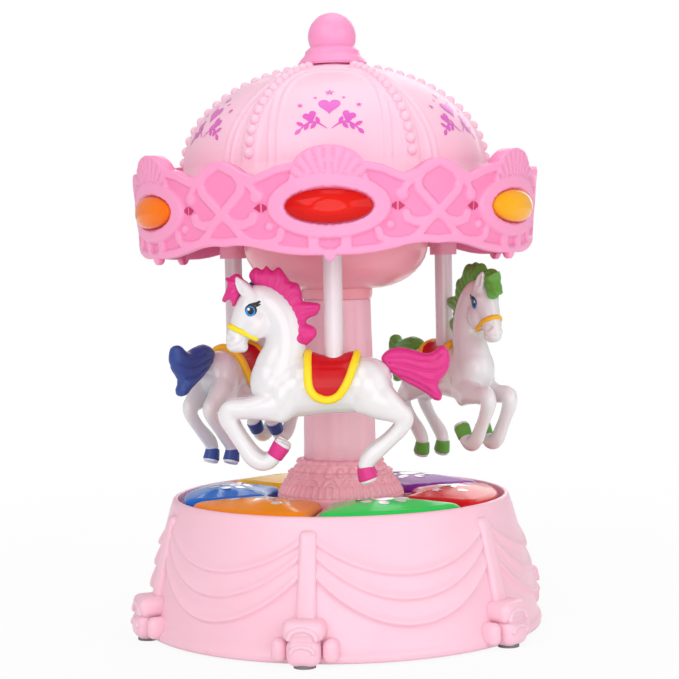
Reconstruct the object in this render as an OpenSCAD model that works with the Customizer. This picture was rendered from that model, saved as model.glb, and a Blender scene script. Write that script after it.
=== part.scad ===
// Carousel music box: a battery merry-go-round that turns on a round drum with six press pads.
// The origin is the centre of the face it stands on, +Z is up and the front faces -Y.
// A place round the axis is an angle from the front, growing towards +X.

/* [Base drum] */
// Radius of the drum at its rim
rim_r = 82.5; // [80:0.5:86]
// Height of the rim above the floor
base_h = 64; // [62:0.5:70]
// How much wider the drum is at the floor than at the rim
base_flare = 15.5; // [12:0.5:18]
// Wall of the drum, the bell and the dome
wall = 2.4; // [2:0.1:2.8]
// How far each foot stands out from the foot of the drum
foot_out = 8.5; // [6:0.5:10]
// Width of a foot
foot_w = 20; // [16:0.5:24]
// How far the cloth folds stand out of the drum
swag_out = 1.8; // [0.8:0.1:2.4]
// Angle of a pilaster from the front
base_turn = -10; // [-30:1:30]
// Thickness of the bottom plate and of the pad deck
plate_t = 2.2; // [1.8:0.1:2.6]

/* [Pads] */
// Gap between a pad's outer edge and the inside of the drum's rim
pad_rim_gap = 2.1; // [1.6:0.1:6]
// Radius of the pads' inner edge
pad_ri = 36; // [34:0.5:40]
// Gap between two pads
pad_gap = 4; // [3.4:0.2:6]
// How far a pad goes down when it is struck
pad_travel = 1.8; // [1:0.1:2]
// Radius of a pad's stem
stem_r = 4.2; // [3:0.1:4.6]

/* [Column and bell] */
// Radius of the column at its foot
column_r = 18.4; // [17:0.1:18.8]
// Radius of the column under the bell
column_top_r = 16.4; // [15.4:0.1:17]
// Height of the column's top above the floor
column_top = 160; // [156:0.5:162]
// Radius of the bell
bell_r = 45.3; // [40:0.5:46]
// Radius of the steel drive shaft
shaft_r = 2; // [1.5:0.1:2.4]
// Running clearance of a shaft in its bush
run_gap = 0.06; // [0.04:0.01:0.09]

/* [Canopy] */
// Radius of the crown's field at its lower edge
crown_r = 94.6; // [92:0.2:97]
// How much wider the crown's field is for each millimetre of height
crown_lean = 0.085; // [0.03:0.005:0.1]
// How far the crown's bands stand out of its field
band_out = 1.3; // [0.8:0.1:1.8]
// Height of the gems' centres above the floor
gem_z = 202.5; // [201:0.5:204]
// Half the length of a gem
gem_a = 18.8; // [15:0.2:19.5]
// Half the height of a gem
gem_b = 7.6; // [6:0.1:8]
// How far a gem stands out of its frame's face
gem_out = 3.2; // [2:0.1:4]
// Radius of the dome at its foot
dome_r = 73.5; // [70:0.5:76]
// Height of the dome from its foot to its cap
dome_h = 49.5; // [44:0.5:54]
// Radius of the finial's ball
ball_r = 11.8; // [10:0.1:13]
// Angle of the canopy from the front
canopy_turn = -1.6; // [-30:0.1:30]

/* [Horses] */
// Radius of the circle that the poles stand on
pole_circle = 62; // [61:0.5:64]
// Radius of a pole
pole_r = 4.4; // [3.6:0.1:4.8]
// Height of a horse's back above the floor
horse_z = 122; // [120:0.5:124]
// Half the distance between a horse's left and right legs
leg_y = 6.2; // [5.4:0.1:7]

/* [Gears] */
// Module of the gear teeth
gear_m = 0.8; // [0.75:0.05:0.8]
// Teeth of each large gear
gear_n = 40; // [38:1:40]
// Teeth of each small gear
pinion_n = 10; // [10:1:12]
// Thickness of a gear's rim
gear_t = 3; // [2.4:0.1:3.2]
// Free play of a tooth on each side
tooth_play = 0.12; // [0.1:0.01:0.2]

/* [Hidden] */
fit = 0.3;                      // gap between moulded parts that only have to drop in
n_sides = 6;
step60 = 360 / n_sides;
shell_z = 0.8;                  // underside of the feet, which stand on rubber pads
foot_pad_h = 2;
foot_pad_r = 5;
plate_z = 2.4;
floor_z = plate_z + plate_t;    // inside floor of the drum
deck_z = base_h - 8;            // underside of the deck
deck_top = deck_z + plate_t;
ledge_z = deck_z - 3.2;
rim_in = rim_r - wall;
ledge_r = rim_in - 3.5;
deck_r = rim_in - 0.7;
cavity_r = rim_r + base_flare - wall - 1.5;
cavity_top_r = rim_r - wall + 3.2;
plate_r = cavity_r - 1.6;
pad_z = deck_top + pad_travel + 0.4;
pad_edge_z = base_h - 1.2;
pad_crown_z = base_h + 2;
pad_wall = 2;
pad_ceiling_z = pad_crown_z - 4.4;
pad_ro = rim_in - pad_rim_gap;
pad_mid_r = (pad_ro + pad_ri) / 2 - 1;
guide_r = 2.2;
guide_at = 10;
stem_gap = 0.3;
board_z = deck_z - 10;
board_t = 1.6;
board_top = board_z + board_t;
stem_end_z = board_top + pad_travel + 1.9;
collar_r = stem_r + 2;
boss_at_r = 40;
foot_at_r = rim_r + base_flare + 1;
screw_at_r = cavity_r - 6;

gear_base_z = board_z - 22;
gear_plate_t = 2;
axle_r = 1.5;
level_c = gear_base_z + 3;
level_b = level_c + gear_t + 1.5;
level_a = level_b + gear_t + 1.5;
gear_cover_z = level_a + gear_t + 3;
gear_gap = gear_m * (gear_n + pinion_n) / 2;
idler2_at = [gear_gap, 0];
idler1_at = [gear_gap, gear_gap];
motor_at = [2 * gear_gap, gear_gap];
motor_r = 12.2;
motor_h = 12.6;
motor_shaft_r = 1;
post_at = [[-20, -18], [54, -18], [54, 38], [-20, 38]];
speaker_at = [-50, 18];
speaker_r = 20;
cell_r = 7.2;
cell_l = 50.5;
cell_at = [0, -46];
tray_w = 6 * cell_r + 3;
tray_l = cell_l + 9;
tray_h = 17;
door_screw_at = [cell_at[0], cell_at[1] + tray_l / 2 - 2.9];
switch_at = [52, -38];
switch_travel = 4;

bell_z = column_top;
bell_h = 27;
boss_top = bell_z + 10;
bush_r = 4;
hub_z = boss_top + 0.8;
canopy_floor_z = 197;
canopy_floor_t = 2.5;
crown_low = 184;
crown_in = crown_r - 2.6;
floor_r = crown_in - fit;
boss_in = 6;                    // how far inside the crown's wall its screw bosses stand
brim_z = 213.5;
dome_z = 224;
cap_r = 17;
cap_z = dome_z + dome_h;
finial_top = 300;
shaft_top = canopy_floor_z + 9;

// ---------- helpers ----------

// A closed solid through rings of equal point counts, closed by a fan at each end
module loft(rings) {
    m = len(rings);
    n = len(rings[0]);
    mid = function (ring) [for (k = [0:2]) [for (p = ring) p[k]] * [for (p = ring) 1] / n];
    sides = [for (i = [0:m - 2], j = [0:n - 1])
        each [
            [i * n + (j + 1) % n, i * n + j, (i + 1) * n + j],
            [(i + 1) * n + (j + 1) % n, i * n + (j + 1) % n, (i + 1) * n + j]
        ]];
    caps = [for (j = [0:n - 1])
        each [[m * n, j, (j + 1) % n], [m * n + 1, (m - 1) * n + (j + 1) % n, (m - 1) * n + j]]];
    polyhedron(concat([for (r = rings) each r], [mid(rings[0]), mid(rings[m - 1])]), concat(sides, caps));
}

// The same, but the last ring joins the first, as in a hoop
module hoop(rings) {
    m = len(rings);
    n = len(rings[0]);
    polyhedron([for (r = rings) each r], [for (i = [0:m - 1], j = [0:n - 1])
        each [
            [i * n + (j + 1) % n, i * n + j, ((i + 1) % m) * n + j],
            [((i + 1) % m) * n + (j + 1) % n, i * n + (j + 1) % n, ((i + 1) % m) * n + j]
        ]]);
}

function at(r, a, z) = [r * sin(a), -r * cos(a), z];
module around(r, a) { rotate([0, 0, a]) translate([0, -r, 0]) children(); }
module each_side(first = 0) { for (i = [0:n_sides - 1]) rotate([0, 0, first + i * step60]) children(); }
module ring(r_out, r_in, z, h, fn = 64) {
    translate([0, 0, z]) difference() {
        cylinder(h = h, r = r_out, $fn = fn);
        translate([0, 0, -1]) cylinder(h = h + 2, r = r_in, $fn = fn);
    }
}
module rod(r, z, h, fn = 32) { translate([0, 0, z]) cylinder(h = h, r = r, $fn = fn); }
module pan_screw(z_head, head_h, shank_h, r = 1.4) {
    rod(r * 2, z_head, head_h);
    rod(r, z_head + head_h - 0.01, shank_h);
}

// ---------- drum ----------

// Radius of the drum's wall at a height
function drum_r(z) = rim_r + base_flare * pow(max(0, 1 - z / base_h), 0.85);
// How far the cloth hangs: 0 at a pilaster, 1 in the middle of a panel
function hang(u) = 4 * u * (1 - u);
function fold(u, top, low) = top - (top - low) * hang(u);
swag_tops = [base_h - 8.4, base_h - 13.5, base_h - 21.5];
swag_lows = [base_h * 0.64, base_h * 0.46, base_h * 0.31];
function swag_rows(u, k) = let (
        z = fold(u, swag_tops[k], swag_lows[k]),
        h = hang(u)
    ) [
        [drum_r(z) + 0.1, z + 0.7 + 2.1 * h],
        [drum_r(z) + 0.3 + swag_out * h, z],
        [drum_r(z) - 0.4 * h, z - 0.7 - 1.9 * h]
    ];
function drum_rows(u) = concat(
    [[rim_r - 1.2, base_h], [rim_r, base_h - 1.4], [rim_r, base_h - 4.6], [drum_r(base_h - 5.4), base_h - 5.4]],
    swag_rows(u, 0), swag_rows(u, 1), swag_rows(u, 2),
    let (z = (fold(u, swag_tops[2], swag_lows[2]) + 8) / 2) [[drum_r(z), z - 1]],
    [[drum_r(7), 7], [drum_r(4) + 1.1, 4.6], [drum_r(2) + 0.6, shell_z + 0.6]]);
drum_cols = 8;
inner_rows = [[cavity_r + 0.2, shell_z + 0.6], [cavity_top_r, ledge_z], [ledge_r, ledge_z], [ledge_r, deck_z],
              [rim_in, deck_z], [rim_in, base_h]];
module drum_wall() {
    hoop([for (i = [0:n_sides - 1], j = [0:drum_cols - 1])
        let (u = (j + 0.5) / drum_cols, a = base_turn + (i + u) * step60)
        [for (p = concat(drum_rows(u), inner_rows)) at(p[0], a, p[1])]]);
}
module block(w, d, h, c) {
    hull() {
        cube([w - 2 * c, d - 2 * c, h], center = true);
        cube([w, d - 2 * c, h - 2 * c], center = true);
        cube([w - 2 * c, d, h - 2 * c], center = true);
    }
}
module pilaster() {
    top = base_h - 6.6;
    low = 17;
    hull() for (p = [[top, 8.6], [low, 10]]) {
        translate([0, -drum_r(p[0]) - 3.2, p[0]]) cube([p[1] - 3.4, 0.8, 2], center = true);
        translate([0, -drum_r(p[0]) - 0.4, p[0]]) cube([p[1], 3.6, 2], center = true);
    }
}
module foot() {
    r = rim_r + base_flare + foot_out;
    low_h = 11.2;
    deep = foot_out + 2.6;
    translate([0, -r + deep / 2, shell_z + low_h / 2]) cube([foot_w * 0.8, deep, low_h], center = true);
    translate([0, -r + deep / 2 + 1, 15.6]) block(foot_w, deep + 2, 7.6, 2.2);
    for (s = [-1, 1]) translate([s * foot_w * 0.54, -r + deep - 0.6, 9.2]) rotate([90, 0, 0])
        cylinder(h = deep - 4, r1 = 3.7, r2 = 3, $fn = 8);
}
module base_shell() {
    color([1, 0.74, 0.82]) difference() {
        union() {
            drum_wall();
            each_side(base_turn) {
                pilaster();
                foot();
            }
            at_screws() {
                rod(3.6, floor_z + 0.2, 16, 8);
                translate([-1, -4.4, floor_z + 5]) cube([2, 4.4, 11]);
            }
        }
        at_screws() rod(1.5, 0, floor_z + 13, 12);
        each_side(base_turn) translate([0, -foot_at_r, 0]) rod(foot_pad_r + 0.3, -1, foot_pad_h + 1.05, 12);
    }
}
module foot_pads() {
    color("dimgray") each_side(base_turn) translate([0, -foot_at_r, 0]) rod(foot_pad_r, 0, foot_pad_h);
}

// ---------- underside ----------

module at_screws() { each_side(base_turn + step60 / 2) translate([0, -screw_at_r, 0]) children(); }
module bottom_plate() {
    color([1, 0.74, 0.82]) difference() {
        union() {
            rod(plate_r, plate_z, plate_t, 96);
            translate([speaker_at[0], speaker_at[1], 0]) ring(speaker_r + 2.2, speaker_r + 0.5, floor_z - 0.1, 5.1);
            translate([cell_at[0] - tray_w / 2 - 1.6, cell_at[1] - tray_l / 2 - 1.6, floor_z - 0.1])
                cube([tray_w + 3.2, tray_l + 3.2, tray_h]);
            for (p = post_at) translate([p[0], p[1], 0]) rod(3.4, floor_z - 0.1, gear_base_z - floor_z + 0.1);
        }
        difference() {
            translate([cell_at[0] - tray_w / 2, cell_at[1] - tray_l / 2, plate_z - 1])
                cube([tray_w, tray_l, tray_h + plate_t - 0.6]);
            translate([door_screw_at[0] - 3, door_screw_at[1] - 1.8, floor_z - 0.3]) cube([6, 8, 2.8]);
        }
        translate([door_screw_at[0], door_screw_at[1], 0]) rod(1.45, plate_z, floor_z + 3 - plate_z);
        for (p = post_at) translate([p[0], p[1], 0]) rod(1.3, gear_base_z - 9, 10);
        at_screws() rod(1.7, plate_z - 1, plate_t + 2);
        for (x = [-2:2], y = [-2:2]) if (abs(x) + abs(y) < 4)
            translate([speaker_at[0] + x * 6, speaker_at[1] + y * 6, 0]) rod(1.6, plate_z - 1, plate_t + 2);
        translate([switch_at[0] - 5 - switch_travel / 2, switch_at[1] - 2.6, plate_z - 1])
            cube([10 + switch_travel, 5.2, plate_t + 2]);
    }
}
module battery_door() {
    w = tray_w - 2 * fit;
    l = tray_l - 2 * fit;
    color([1, 0.74, 0.82]) difference() {
        union() {
            translate([cell_at[0] - w / 2, cell_at[1] - l / 2, plate_z]) cube([w, l, plate_t - 0.4]);
            for (y = [-18:6:18]) translate([cell_at[0] - w / 2 + 4, cell_at[1] + y, plate_z - 0.6])
                cube([w - 8, 1.6, 0.7]);
        }
        translate([door_screw_at[0], door_screw_at[1], 0]) rod(1.6, plate_z - 2, 8);
    }
}
module battery_door_screw() {
    color("silver") translate([door_screw_at[0], door_screw_at[1], plate_z - 1.1])
        pan_screw(0, 1.1, plate_t + 2.3, 1.4);
}
module batteries() {
    color([0.75, 0.75, 0.78]) for (i = [-1:1])
        translate([cell_at[0] + i * 2 * (cell_r + 0.15), cell_at[1] - 1.8 + cell_l / 2, floor_z + cell_r + 0.6])
            rotate([90, 0, 0]) union() {
                cylinder(h = cell_l, r = cell_r, $fn = 48);
                translate([0, 0, -1]) cylinder(h = 1.1, r = 2.6, $fn = 24);
            }
}
module battery_contacts() {
    color("silver") for (i = [-1:1]) {
        translate([cell_at[0] + i * 2 * (cell_r + 0.15) - 4, cell_at[1] + tray_l / 2 - 0.5, floor_z + 3])
            cube([8, 0.4, 9]);
        translate([cell_at[0] + i * 2 * (cell_r + 0.15) - 4, cell_at[1] - tray_l / 2 + 0.1, floor_z + 3])
            cube([8, 0.4, 9]);
    }
}
module base_screws() { color("silver") at_screws() pan_screw(plate_z - 1.2, 1.2, 14, 1.4); }
module speaker() {
    color([0.2, 0.2, 0.22]) translate([speaker_at[0], speaker_at[1], floor_z + 0.3]) {
        difference() {
            rod(speaker_r, 0, 4.4, 64);
            translate([0, 0, -0.6]) cylinder(h = 3.4, r1 = speaker_r - 2, r2 = 7, $fn = 48);
        }
        rod(11, 4.3, 7, 48);
    }
}
module switch_body() {
    color("dimgray") translate([switch_at[0] - 10, switch_at[1] - 5, floor_z + 1.6]) cube([20, 10, 6]);
}
module switch_knob() {
    color([0.95, 0.95, 0.95]) translate([switch_at[0] - switch_travel / 2, switch_at[1], 0]) {
        translate([-4.4, -2.2, plate_z - 1]) cube([8.8, 4.4, plate_t + 2.2]);
        translate([-1, -1.6, plate_z - 1.5]) cube([2, 3.2, 0.6]);
    }
}

// ---------- deck, board and pads ----------

// Outline of a pad, moved in from its edge, as points round its four corners
function pad_outline(inset) = let (
        ro = pad_ro - inset,
        ri = pad_ri + inset,
        g = pad_gap / 2 + inset,
        c = max(1.4, 5.5 - inset),
        half = step60 / 2,
        ao = half - asin((g + c) / (ro - c)),
        ai = half - asin((g + c) / (ri + c)),
        fan = function (r0, a0, from, to) [for (k = [0:3])
            let (t = from + (to - from) * k / 3, p = at(r0, a0, 0))
            [p[0] + c * sin(t), p[1] - c * cos(t)]]
    ) concat(
        fan(ro - c, -ao, -90 - half, -ao),
        [for (k = [1:4]) let (a = -ao + 2 * ao * k / 5) [ro * sin(a), -ro * cos(a)]],
        fan(ro - c, ao, ao, 90 + half),
        fan(ri + c, ai, 90 + half, 180 + ai),
        [for (k = [1:3]) let (a = ai - 2 * ai * k / 4) [ri * sin(a), -ri * cos(a)]],
        fan(ri + c, -ai, 180 - ai, 270 - half));
function level(inset, z) = [for (p = pad_outline(inset)) [p[0], p[1], z]];
module pad_cap() {
    difference() {
        loft([level(0, pad_z), level(0, pad_edge_z), level(1.1, pad_edge_z + 1.5), level(4, pad_crown_z)]);
        translate([0, 0, pad_z - 1]) linear_extrude(pad_ceiling_z - pad_z + 1) polygon(pad_outline(pad_wall));
    }
}
module pad(a) {
    rotate([0, 0, a]) {
        pad_cap();
        translate([0, -pad_mid_r, 0]) {
            rod(stem_r, stem_end_z, pad_ceiling_z - stem_end_z + 0.6);
            ring(collar_r, stem_r - 0.5, deck_z - 2, 1.7);
            for (s = [-1, 1]) translate([0, s * guide_at, 0])
                rod(guide_r, deck_z - 3, pad_ceiling_z - deck_z + 3.6, 24);
        }
    }
}
first_pad = base_turn - step60 / 2;
module pad_1_orange() { color([1, 0.45, 0.05]) pad(first_pad); }
module pad_2_green() { color([0.1, 0.75, 0.2]) pad(first_pad + step60); }
module pad_3_red() { color([0.9, 0.1, 0.1]) pad(first_pad + 2 * step60); }
module pad_4_purple() { color([0.5, 0.1, 0.6]) pad(first_pad + 3 * step60); }
module pad_5_yellow() { color([1, 0.7, 0.1]) pad(first_pad + 4 * step60); }
module pad_6_blue() { color([0.1, 0.4, 0.9]) pad(first_pad + 5 * step60); }

module pad_deck() {
    color([1, 0.74, 0.82]) difference() {
        union() {
            rod(deck_r, deck_z, plate_t, 96);
            each_side(base_turn) translate([-1.2, -pad_ro, deck_top - 0.1])
                cube([2.4, pad_ro - pad_ri + 2, pad_edge_z - 1.4 - deck_top]);
            each_side(base_turn) translate([0, -boss_at_r, 0]) rod(3, board_top, deck_z - board_top + 0.1);
        }
        each_side(first_pad) translate([0, -pad_mid_r, 0]) {
            rod(stem_r + stem_gap, deck_z - 1, plate_t + 2);
            for (s = [-1, 1]) translate([0, s * guide_at, 0]) rod(guide_r + stem_gap, deck_z - 1, plate_t + 2, 24);
        }
        each_side(base_turn) translate([0, -boss_at_r, 0]) rod(1, board_top - 1, 7);
        rod(9, deck_z - 1, plate_t + 2);
        for (a = [0:120:240]) around(22, a) rod(1.3, deck_z - 1, plate_t + 2);
    }
}
module circuit_board() {
    color([0.1, 0.45, 0.2]) difference() {
        ring(pad_ro - 6, pad_ri - 3, board_z, board_t, 96);
        each_side(base_turn) translate([0, -boss_at_r, 0]) rod(1.2, board_z - 1, board_t + 2);
    }
}
module board_screws() {
    color("silver") each_side(base_turn) translate([0, -boss_at_r, 0]) pan_screw(board_z - 1.4, 1.4, 6, 0.95);
}
module board_leds() {
    color([0.95, 0.95, 1]) each_side(first_pad) translate([12, -pad_mid_r, 0]) {
        rod(2.5, board_top, 4);
        translate([0, 0, board_top + 4]) sphere(r = 2.5, $fn = 32);
    }
}
module key_domes() {
    color([0.9, 0.9, 0.88]) each_side(first_pad) translate([0, -pad_mid_r, board_top])
        cylinder(h = stem_end_z - board_top - 0.1, r1 = 6.5, r2 = 3.4, $fn = 48);
}

// ---------- pedestal, column and bell ----------

module pedestal() {
    z = deck_top;
    color([1, 0.7, 0.79]) {
        difference() {
            union() {
                rotate_extrude($fn = 96) polygon([
                    [28, z], [31.2, z], [31.4, z + 5], [30.2, z + 7.4], [27.4, z + 11], [24.8, z + 15.2],
                    [24.6, z + 17.2], [21.2, z + 17.4], [20.6, z + 22], [19.4, z + 23.3],
                    [column_r + 0.5, z + 23.3], [column_r + 0.5, z + 17], [22.2, z + 13], [28, z + 4]
                ]);
                for (i = [0:17]) around(24.4, i * 20) translate([0, 0, z + 16.2]) sphere(r = 1.9, $fn = 24);
                for (i = [0:11]) around(31, i * 30) translate([0, 0, z + 3.6]) sphere(r = 1.7, $fn = 24);
            }
            for (i = [0:11]) around(31.6, i * 30 + 15) translate([0, 0, z - 1]) cylinder(h = 8.6, r = 3.2, $fn = 24);
        }
    }
}
module column() {
    slope = atan((column_r - column_top_r) / (column_top - deck_top));
    color([0.98, 0.62, 0.7]) difference() {
        union() {
            translate([0, 0, deck_top]) cylinder(h = column_top - deck_top, r1 = column_r, r2 = column_top_r, $fn = 96);
            rod(26, deck_top, 2.6, 96);
        }
        for (i = [0:11]) rotate([0, 0, i * 30 + 15]) translate([0, -column_r - 1.1, deck_top + 6])
            rotate([-slope, 0, 0]) cylinder(h = column_top - deck_top + 8, r = 2.4, $fn = 24);
        rod(column_top_r - wall, deck_top - 1, column_top - deck_top + 2, 64);
        for (a = [0:120:240]) around(22, a) rod(1.1, deck_top - 1, 5);
    }
}
module column_screws() {
    color("silver") for (a = [0:120:240]) around(22, a) pan_screw(deck_z - 1.3, 1.3, 4.6, 1.05);
}
// Outline of the bell's lower face, from its neck to its edge, moved in by d
function bell_side(d) = [for (t = [0:10:90])
    [17.5 + (bell_r - 17.5) * sin(t) - d * sin(t), bell_z + 5 + (bell_h - 5) * (1 - cos(t)) + d * cos(t)]];
module bell() {
    color([0.99, 0.68, 0.68]) {
        difference() {
            union() {
                rotate_extrude($fn = 96) polygon(concat(
                    [[0, bell_z], [column_top_r + 0.4, bell_z], [17.5, bell_z + 2]],
                    bell_side(0),
                    [for (k = [len(bell_side(0)) - 1:-1:0]) bell_side(wall * 0.8)[k]],
                    [[0, bell_side(wall * 0.8)[0][1]]]));
                rod(9, bell_z + 1, boss_top - bell_z - 1);
                rod(column_top_r - wall - fit, bell_z - 5, 5.1, 64);
            }
            rod(bush_r + 0.02, bell_z - 6, boss_top - bell_z + 7);
        }
    }
}
module shaft_bushes() {
    color([0.8, 0.65, 0.3]) {
        ring(bush_r, shaft_r + run_gap, bell_z - 5, boss_top - bell_z + 5);
        ring(bush_r, shaft_r + run_gap, gear_base_z, gear_plate_t + 1);
    }
}

// ---------- drive ----------

function inv_deg(a) = tan(a) * 180 / PI - a;
// Half the angle of a tooth at a radius, on its involute flank
function tooth_half(n, r) = let (
        rp = gear_m * n / 2,
        rb = rp * cos(20),
        q = max(r, rb)
    ) 90 / n - tooth_play / rp * 180 / PI + inv_deg(20) - inv_deg(acos(rb / q));
module gear(n, add, ded, h) {
    rp = gear_m * n / 2;
    root = rp - ded * gear_m;
    tip = rp + add * gear_m;
    radii = [root, for (k = [0:3]) max(root, rp * cos(20)) + (tip - max(root, rp * cos(20))) * k / 3];
    linear_extrude(h) polygon([for (i = [0:n - 1])
        each concat(
            [for (r = radii) let (a = i * 360 / n - tooth_half(n, r)) [r * cos(a), r * sin(a)]],
            [for (k = [len(radii) - 1:-1:0])
                let (r = radii[k], a = i * 360 / n + tooth_half(n, r)) [r * cos(a), r * sin(a)]])
    ]);
}
module large_gear(z) { translate([0, 0, z]) gear(gear_n, 0.7, 1.2, gear_t); }
module small_gear(z, h) { translate([0, 0, z]) gear(pinion_n, 0.9, 1.22, h); }
gap_phase = 180 / gear_n;

module idler(z_large, z_small, h_small, phase_large, phase_small, low, high) {
    difference() {
        union() {
            rotate([0, 0, phase_large]) large_gear(z_large);
            rotate([0, 0, phase_small]) small_gear(z_small, h_small);
            rod(2.7, low, high - low);
        }
        rod(axle_r + run_gap, low - 1, high - low + 2);
    }
}
module idler_gear_1() {
    color([0.95, 0.95, 0.9]) translate([idler1_at[0], idler1_at[1], 0])
        idler(level_c, level_c + gear_t - 0.1, gear_t + 2.1, gap_phase, -90,
              gear_base_z + gear_plate_t + 0.4, gear_cover_z - 0.4);
}
module idler_gear_2() {
    color([0.95, 0.95, 0.9]) translate([idler2_at[0], idler2_at[1], 0])
        idler(level_b, level_b + gear_t - 0.1, gear_t + 2.4, 90 + gap_phase, 180,
              gear_base_z + gear_plate_t + 0.4, gear_cover_z - 0.4);
}
module main_gear() {
    color([0.95, 0.95, 0.9]) difference() {
        union() {
            rotate([0, 0, gap_phase]) large_gear(level_a);
            rod(4.4, level_a - 0.8, gear_t + 2.6);
        }
        rod(shaft_r + 0.01, level_a - 2, gear_t + 6);
    }
}
module motor_pinion() {
    color([0.95, 0.95, 0.9]) translate([motor_at[0], motor_at[1], 0]) {
        difference() {
            rotate([0, 0, 180]) small_gear(level_c - 0.4, gear_t + 0.8);
            rod(motor_shaft_r - 0.2, level_c - 2, gear_t + 4, 24);
        }
        rod(motor_shaft_r, gear_base_z - 4, level_c + gear_t + 1 - gear_base_z + 4, 24);
    }
}
module motor() {
    color("silver") translate([motor_at[0], motor_at[1], 0]) difference() {
        union() {
            rod(motor_r, gear_base_z - motor_h, motor_h, 64);
            rod(3, gear_base_z - 0.1, 1.1);
        }
        rod(motor_shaft_r + run_gap, gear_base_z - 5, 8, 24);
    }
}
module idler_axles() {
    color("silver") for (p = [idler1_at, idler2_at])
        translate([p[0], p[1], 0]) rod(axle_r, gear_base_z, gear_cover_z + gear_plate_t - gear_base_z);
}
module gear_plate(z) {
    low = post_at[0];
    high = post_at[2];
    translate([low[0] - 4, low[1] - 4, z]) cube([high[0] - low[0] + 8, high[1] - low[1] + 8, gear_plate_t]);
}
module gearbox_base() {
    color([0.85, 0.85, 0.88]) difference() {
        union() {
            gear_plate(gear_base_z);
            for (p = post_at) translate([p[0], p[1], 0])
                rod(3.2, gear_base_z + gear_plate_t - 0.1, gear_cover_z - gear_base_z - gear_plate_t + 0.1);
        }
        for (p = post_at) translate([p[0], p[1], 0]) rod(1.4, gear_base_z - 1, gear_cover_z - gear_base_z + 3);
        translate([motor_at[0], motor_at[1], 0]) rod(3.1, gear_base_z - 1, 5);
        for (p = [idler1_at, idler2_at]) translate([p[0], p[1], 0]) rod(axle_r + 0.02, gear_base_z - 1, 5);
        rod(bush_r + 0.02, gear_base_z - 1, 5);
    }
}
module gearbox_cover() {
    color([0.85, 0.85, 0.88]) difference() {
        gear_plate(gear_cover_z);
        for (p = post_at) translate([p[0], p[1], 0]) rod(1.4, gear_cover_z - 1, 5);
        for (p = [idler1_at, idler2_at]) translate([p[0], p[1], 0]) rod(axle_r + 0.02, gear_cover_z - 1, 5);
        rod(shaft_r + 1, gear_cover_z - 1, 5);
    }
}
module gearbox_screws() {
    color("silver") for (p = post_at) translate([p[0], p[1], gear_cover_z + gear_plate_t]) {
        rod(2.6, 0, 1.4);
        rod(1.2, gear_base_z - gear_cover_z - 7, gear_cover_z + gear_plate_t - gear_base_z + 5);
    }
}
module drive_shaft() { color("silver") rod(shaft_r, gear_base_z + 0.3, shaft_top - gear_base_z - 0.3); }

// ---------- canopy ----------

module canopy_hub() {
    color([0.95, 0.95, 0.95]) difference() {
        union() {
            rod(8, hub_z, canopy_floor_z - hub_z, 48);
            rod(22, canopy_floor_z - 3, 3, 64);
            rod(7, canopy_floor_z - 0.1, 7, 48);
        }
        rod(shaft_r + 0.01, hub_z - 1, 40);
        for (a = [30:120:270]) around(15, a) rod(1.3, canopy_floor_z - 4, 5);
    }
}
module at_poles() { for (i = [0:2]) rotate([0, 0, canopy_turn + i * 120]) translate([0, -pole_circle, 0]) children(); }
module at_crown_bosses() { each_side(canopy_turn + step60 / 2) translate([0, boss_in - crown_in, 0]) children(); }
module canopy_floor() {
    color([0.93, 0.35, 0.55]) difference() {
        rod(floor_r, canopy_floor_z, canopy_floor_t, 96);
        rod(7.3, canopy_floor_z - 1, 5);
        for (a = [30:120:270]) around(15, a) rod(1.25, canopy_floor_z - 1, 5);
        at_poles() rod(pole_r + 0.05, canopy_floor_z - 1, 5);
        at_crown_bosses() rod(1.6, canopy_floor_z - 1, 5);
    }
}
module canopy_screws() {
    color("silver") {
        at_crown_bosses() pan_screw(canopy_floor_z - 1.3, 1.3, 11, 1.35);
        for (a = [30:120:270]) around(15, a) pan_screw(canopy_floor_z - 4.3, 1.3, 5, 1.2);
    }
}
module pole_sockets() {
    color([1, 0.66, 0.77]) at_poles() difference() {
        union() {
            rod(pole_r + 2.4, canopy_floor_z - 16, 16);
            rod(pole_r + 3.4, canopy_floor_z - 6, 6);
        }
        rod(pole_r + 0.05, canopy_floor_z - 18, 20);
    }
}
pole_foot = horse_z + 2;
module poles() {
    color("white") at_poles() rod(pole_r, pole_foot, canopy_floor_z + canopy_floor_t - pole_foot, 48);
}

// The crown's wall: its field leans out a little, and a raised band follows each scalloped edge.
function field_r(z) = crown_r + crown_lean * (z - crown_low);
// Upper edge over one sixth of the crown, v from -30 at a ribbon to 30 at the next, 0 at a gem
function crown_top(v) = let (u = abs(v))
    u < 19.5 ? 216.2 + 5.6 * cos(u / 19.5 * 90) : 216.2 + 4.6 * sin((u - 19.5) / 10.5 * 90);
function crown_bottom(v) = let (u = abs(v))
    crown_low + (u < 19.5 ? 2.4 * sin(u / 19.5 * 90) : 2.4 - 0.9 * sin((u - 19.5) / 10.5 * 90));
crown_cols = 10;
band_w = 3.6;
module crown_wall() {
    hoop([for (i = [0:n_sides - 1], j = [0:crown_cols - 1])
        let (
            v = -30 + (j + 0.5) * step60 / crown_cols,
            a = i * step60 + v,
            t = crown_top(v),
            b = crown_bottom(v),
            o = band_out
        ) [
            at(crown_in, a, t), at(field_r(t) + o, a, t),
            at(field_r(t) + o, a, t - band_w), at(field_r(t), a, t - band_w - 0.3),
            at(field_r(b), a, b + band_w + 0.3), at(field_r(b) + o, a, b + band_w),
            at(field_r(b) + o, a, b), at(crown_in, a, b)
        ]]);
}
// A point of the crown's face: x is the way round from a gem's centre, h the height over the field
function on_crown(x, z, h) = at(field_r(z) + h, x / crown_r * 180 / PI, z);
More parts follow.
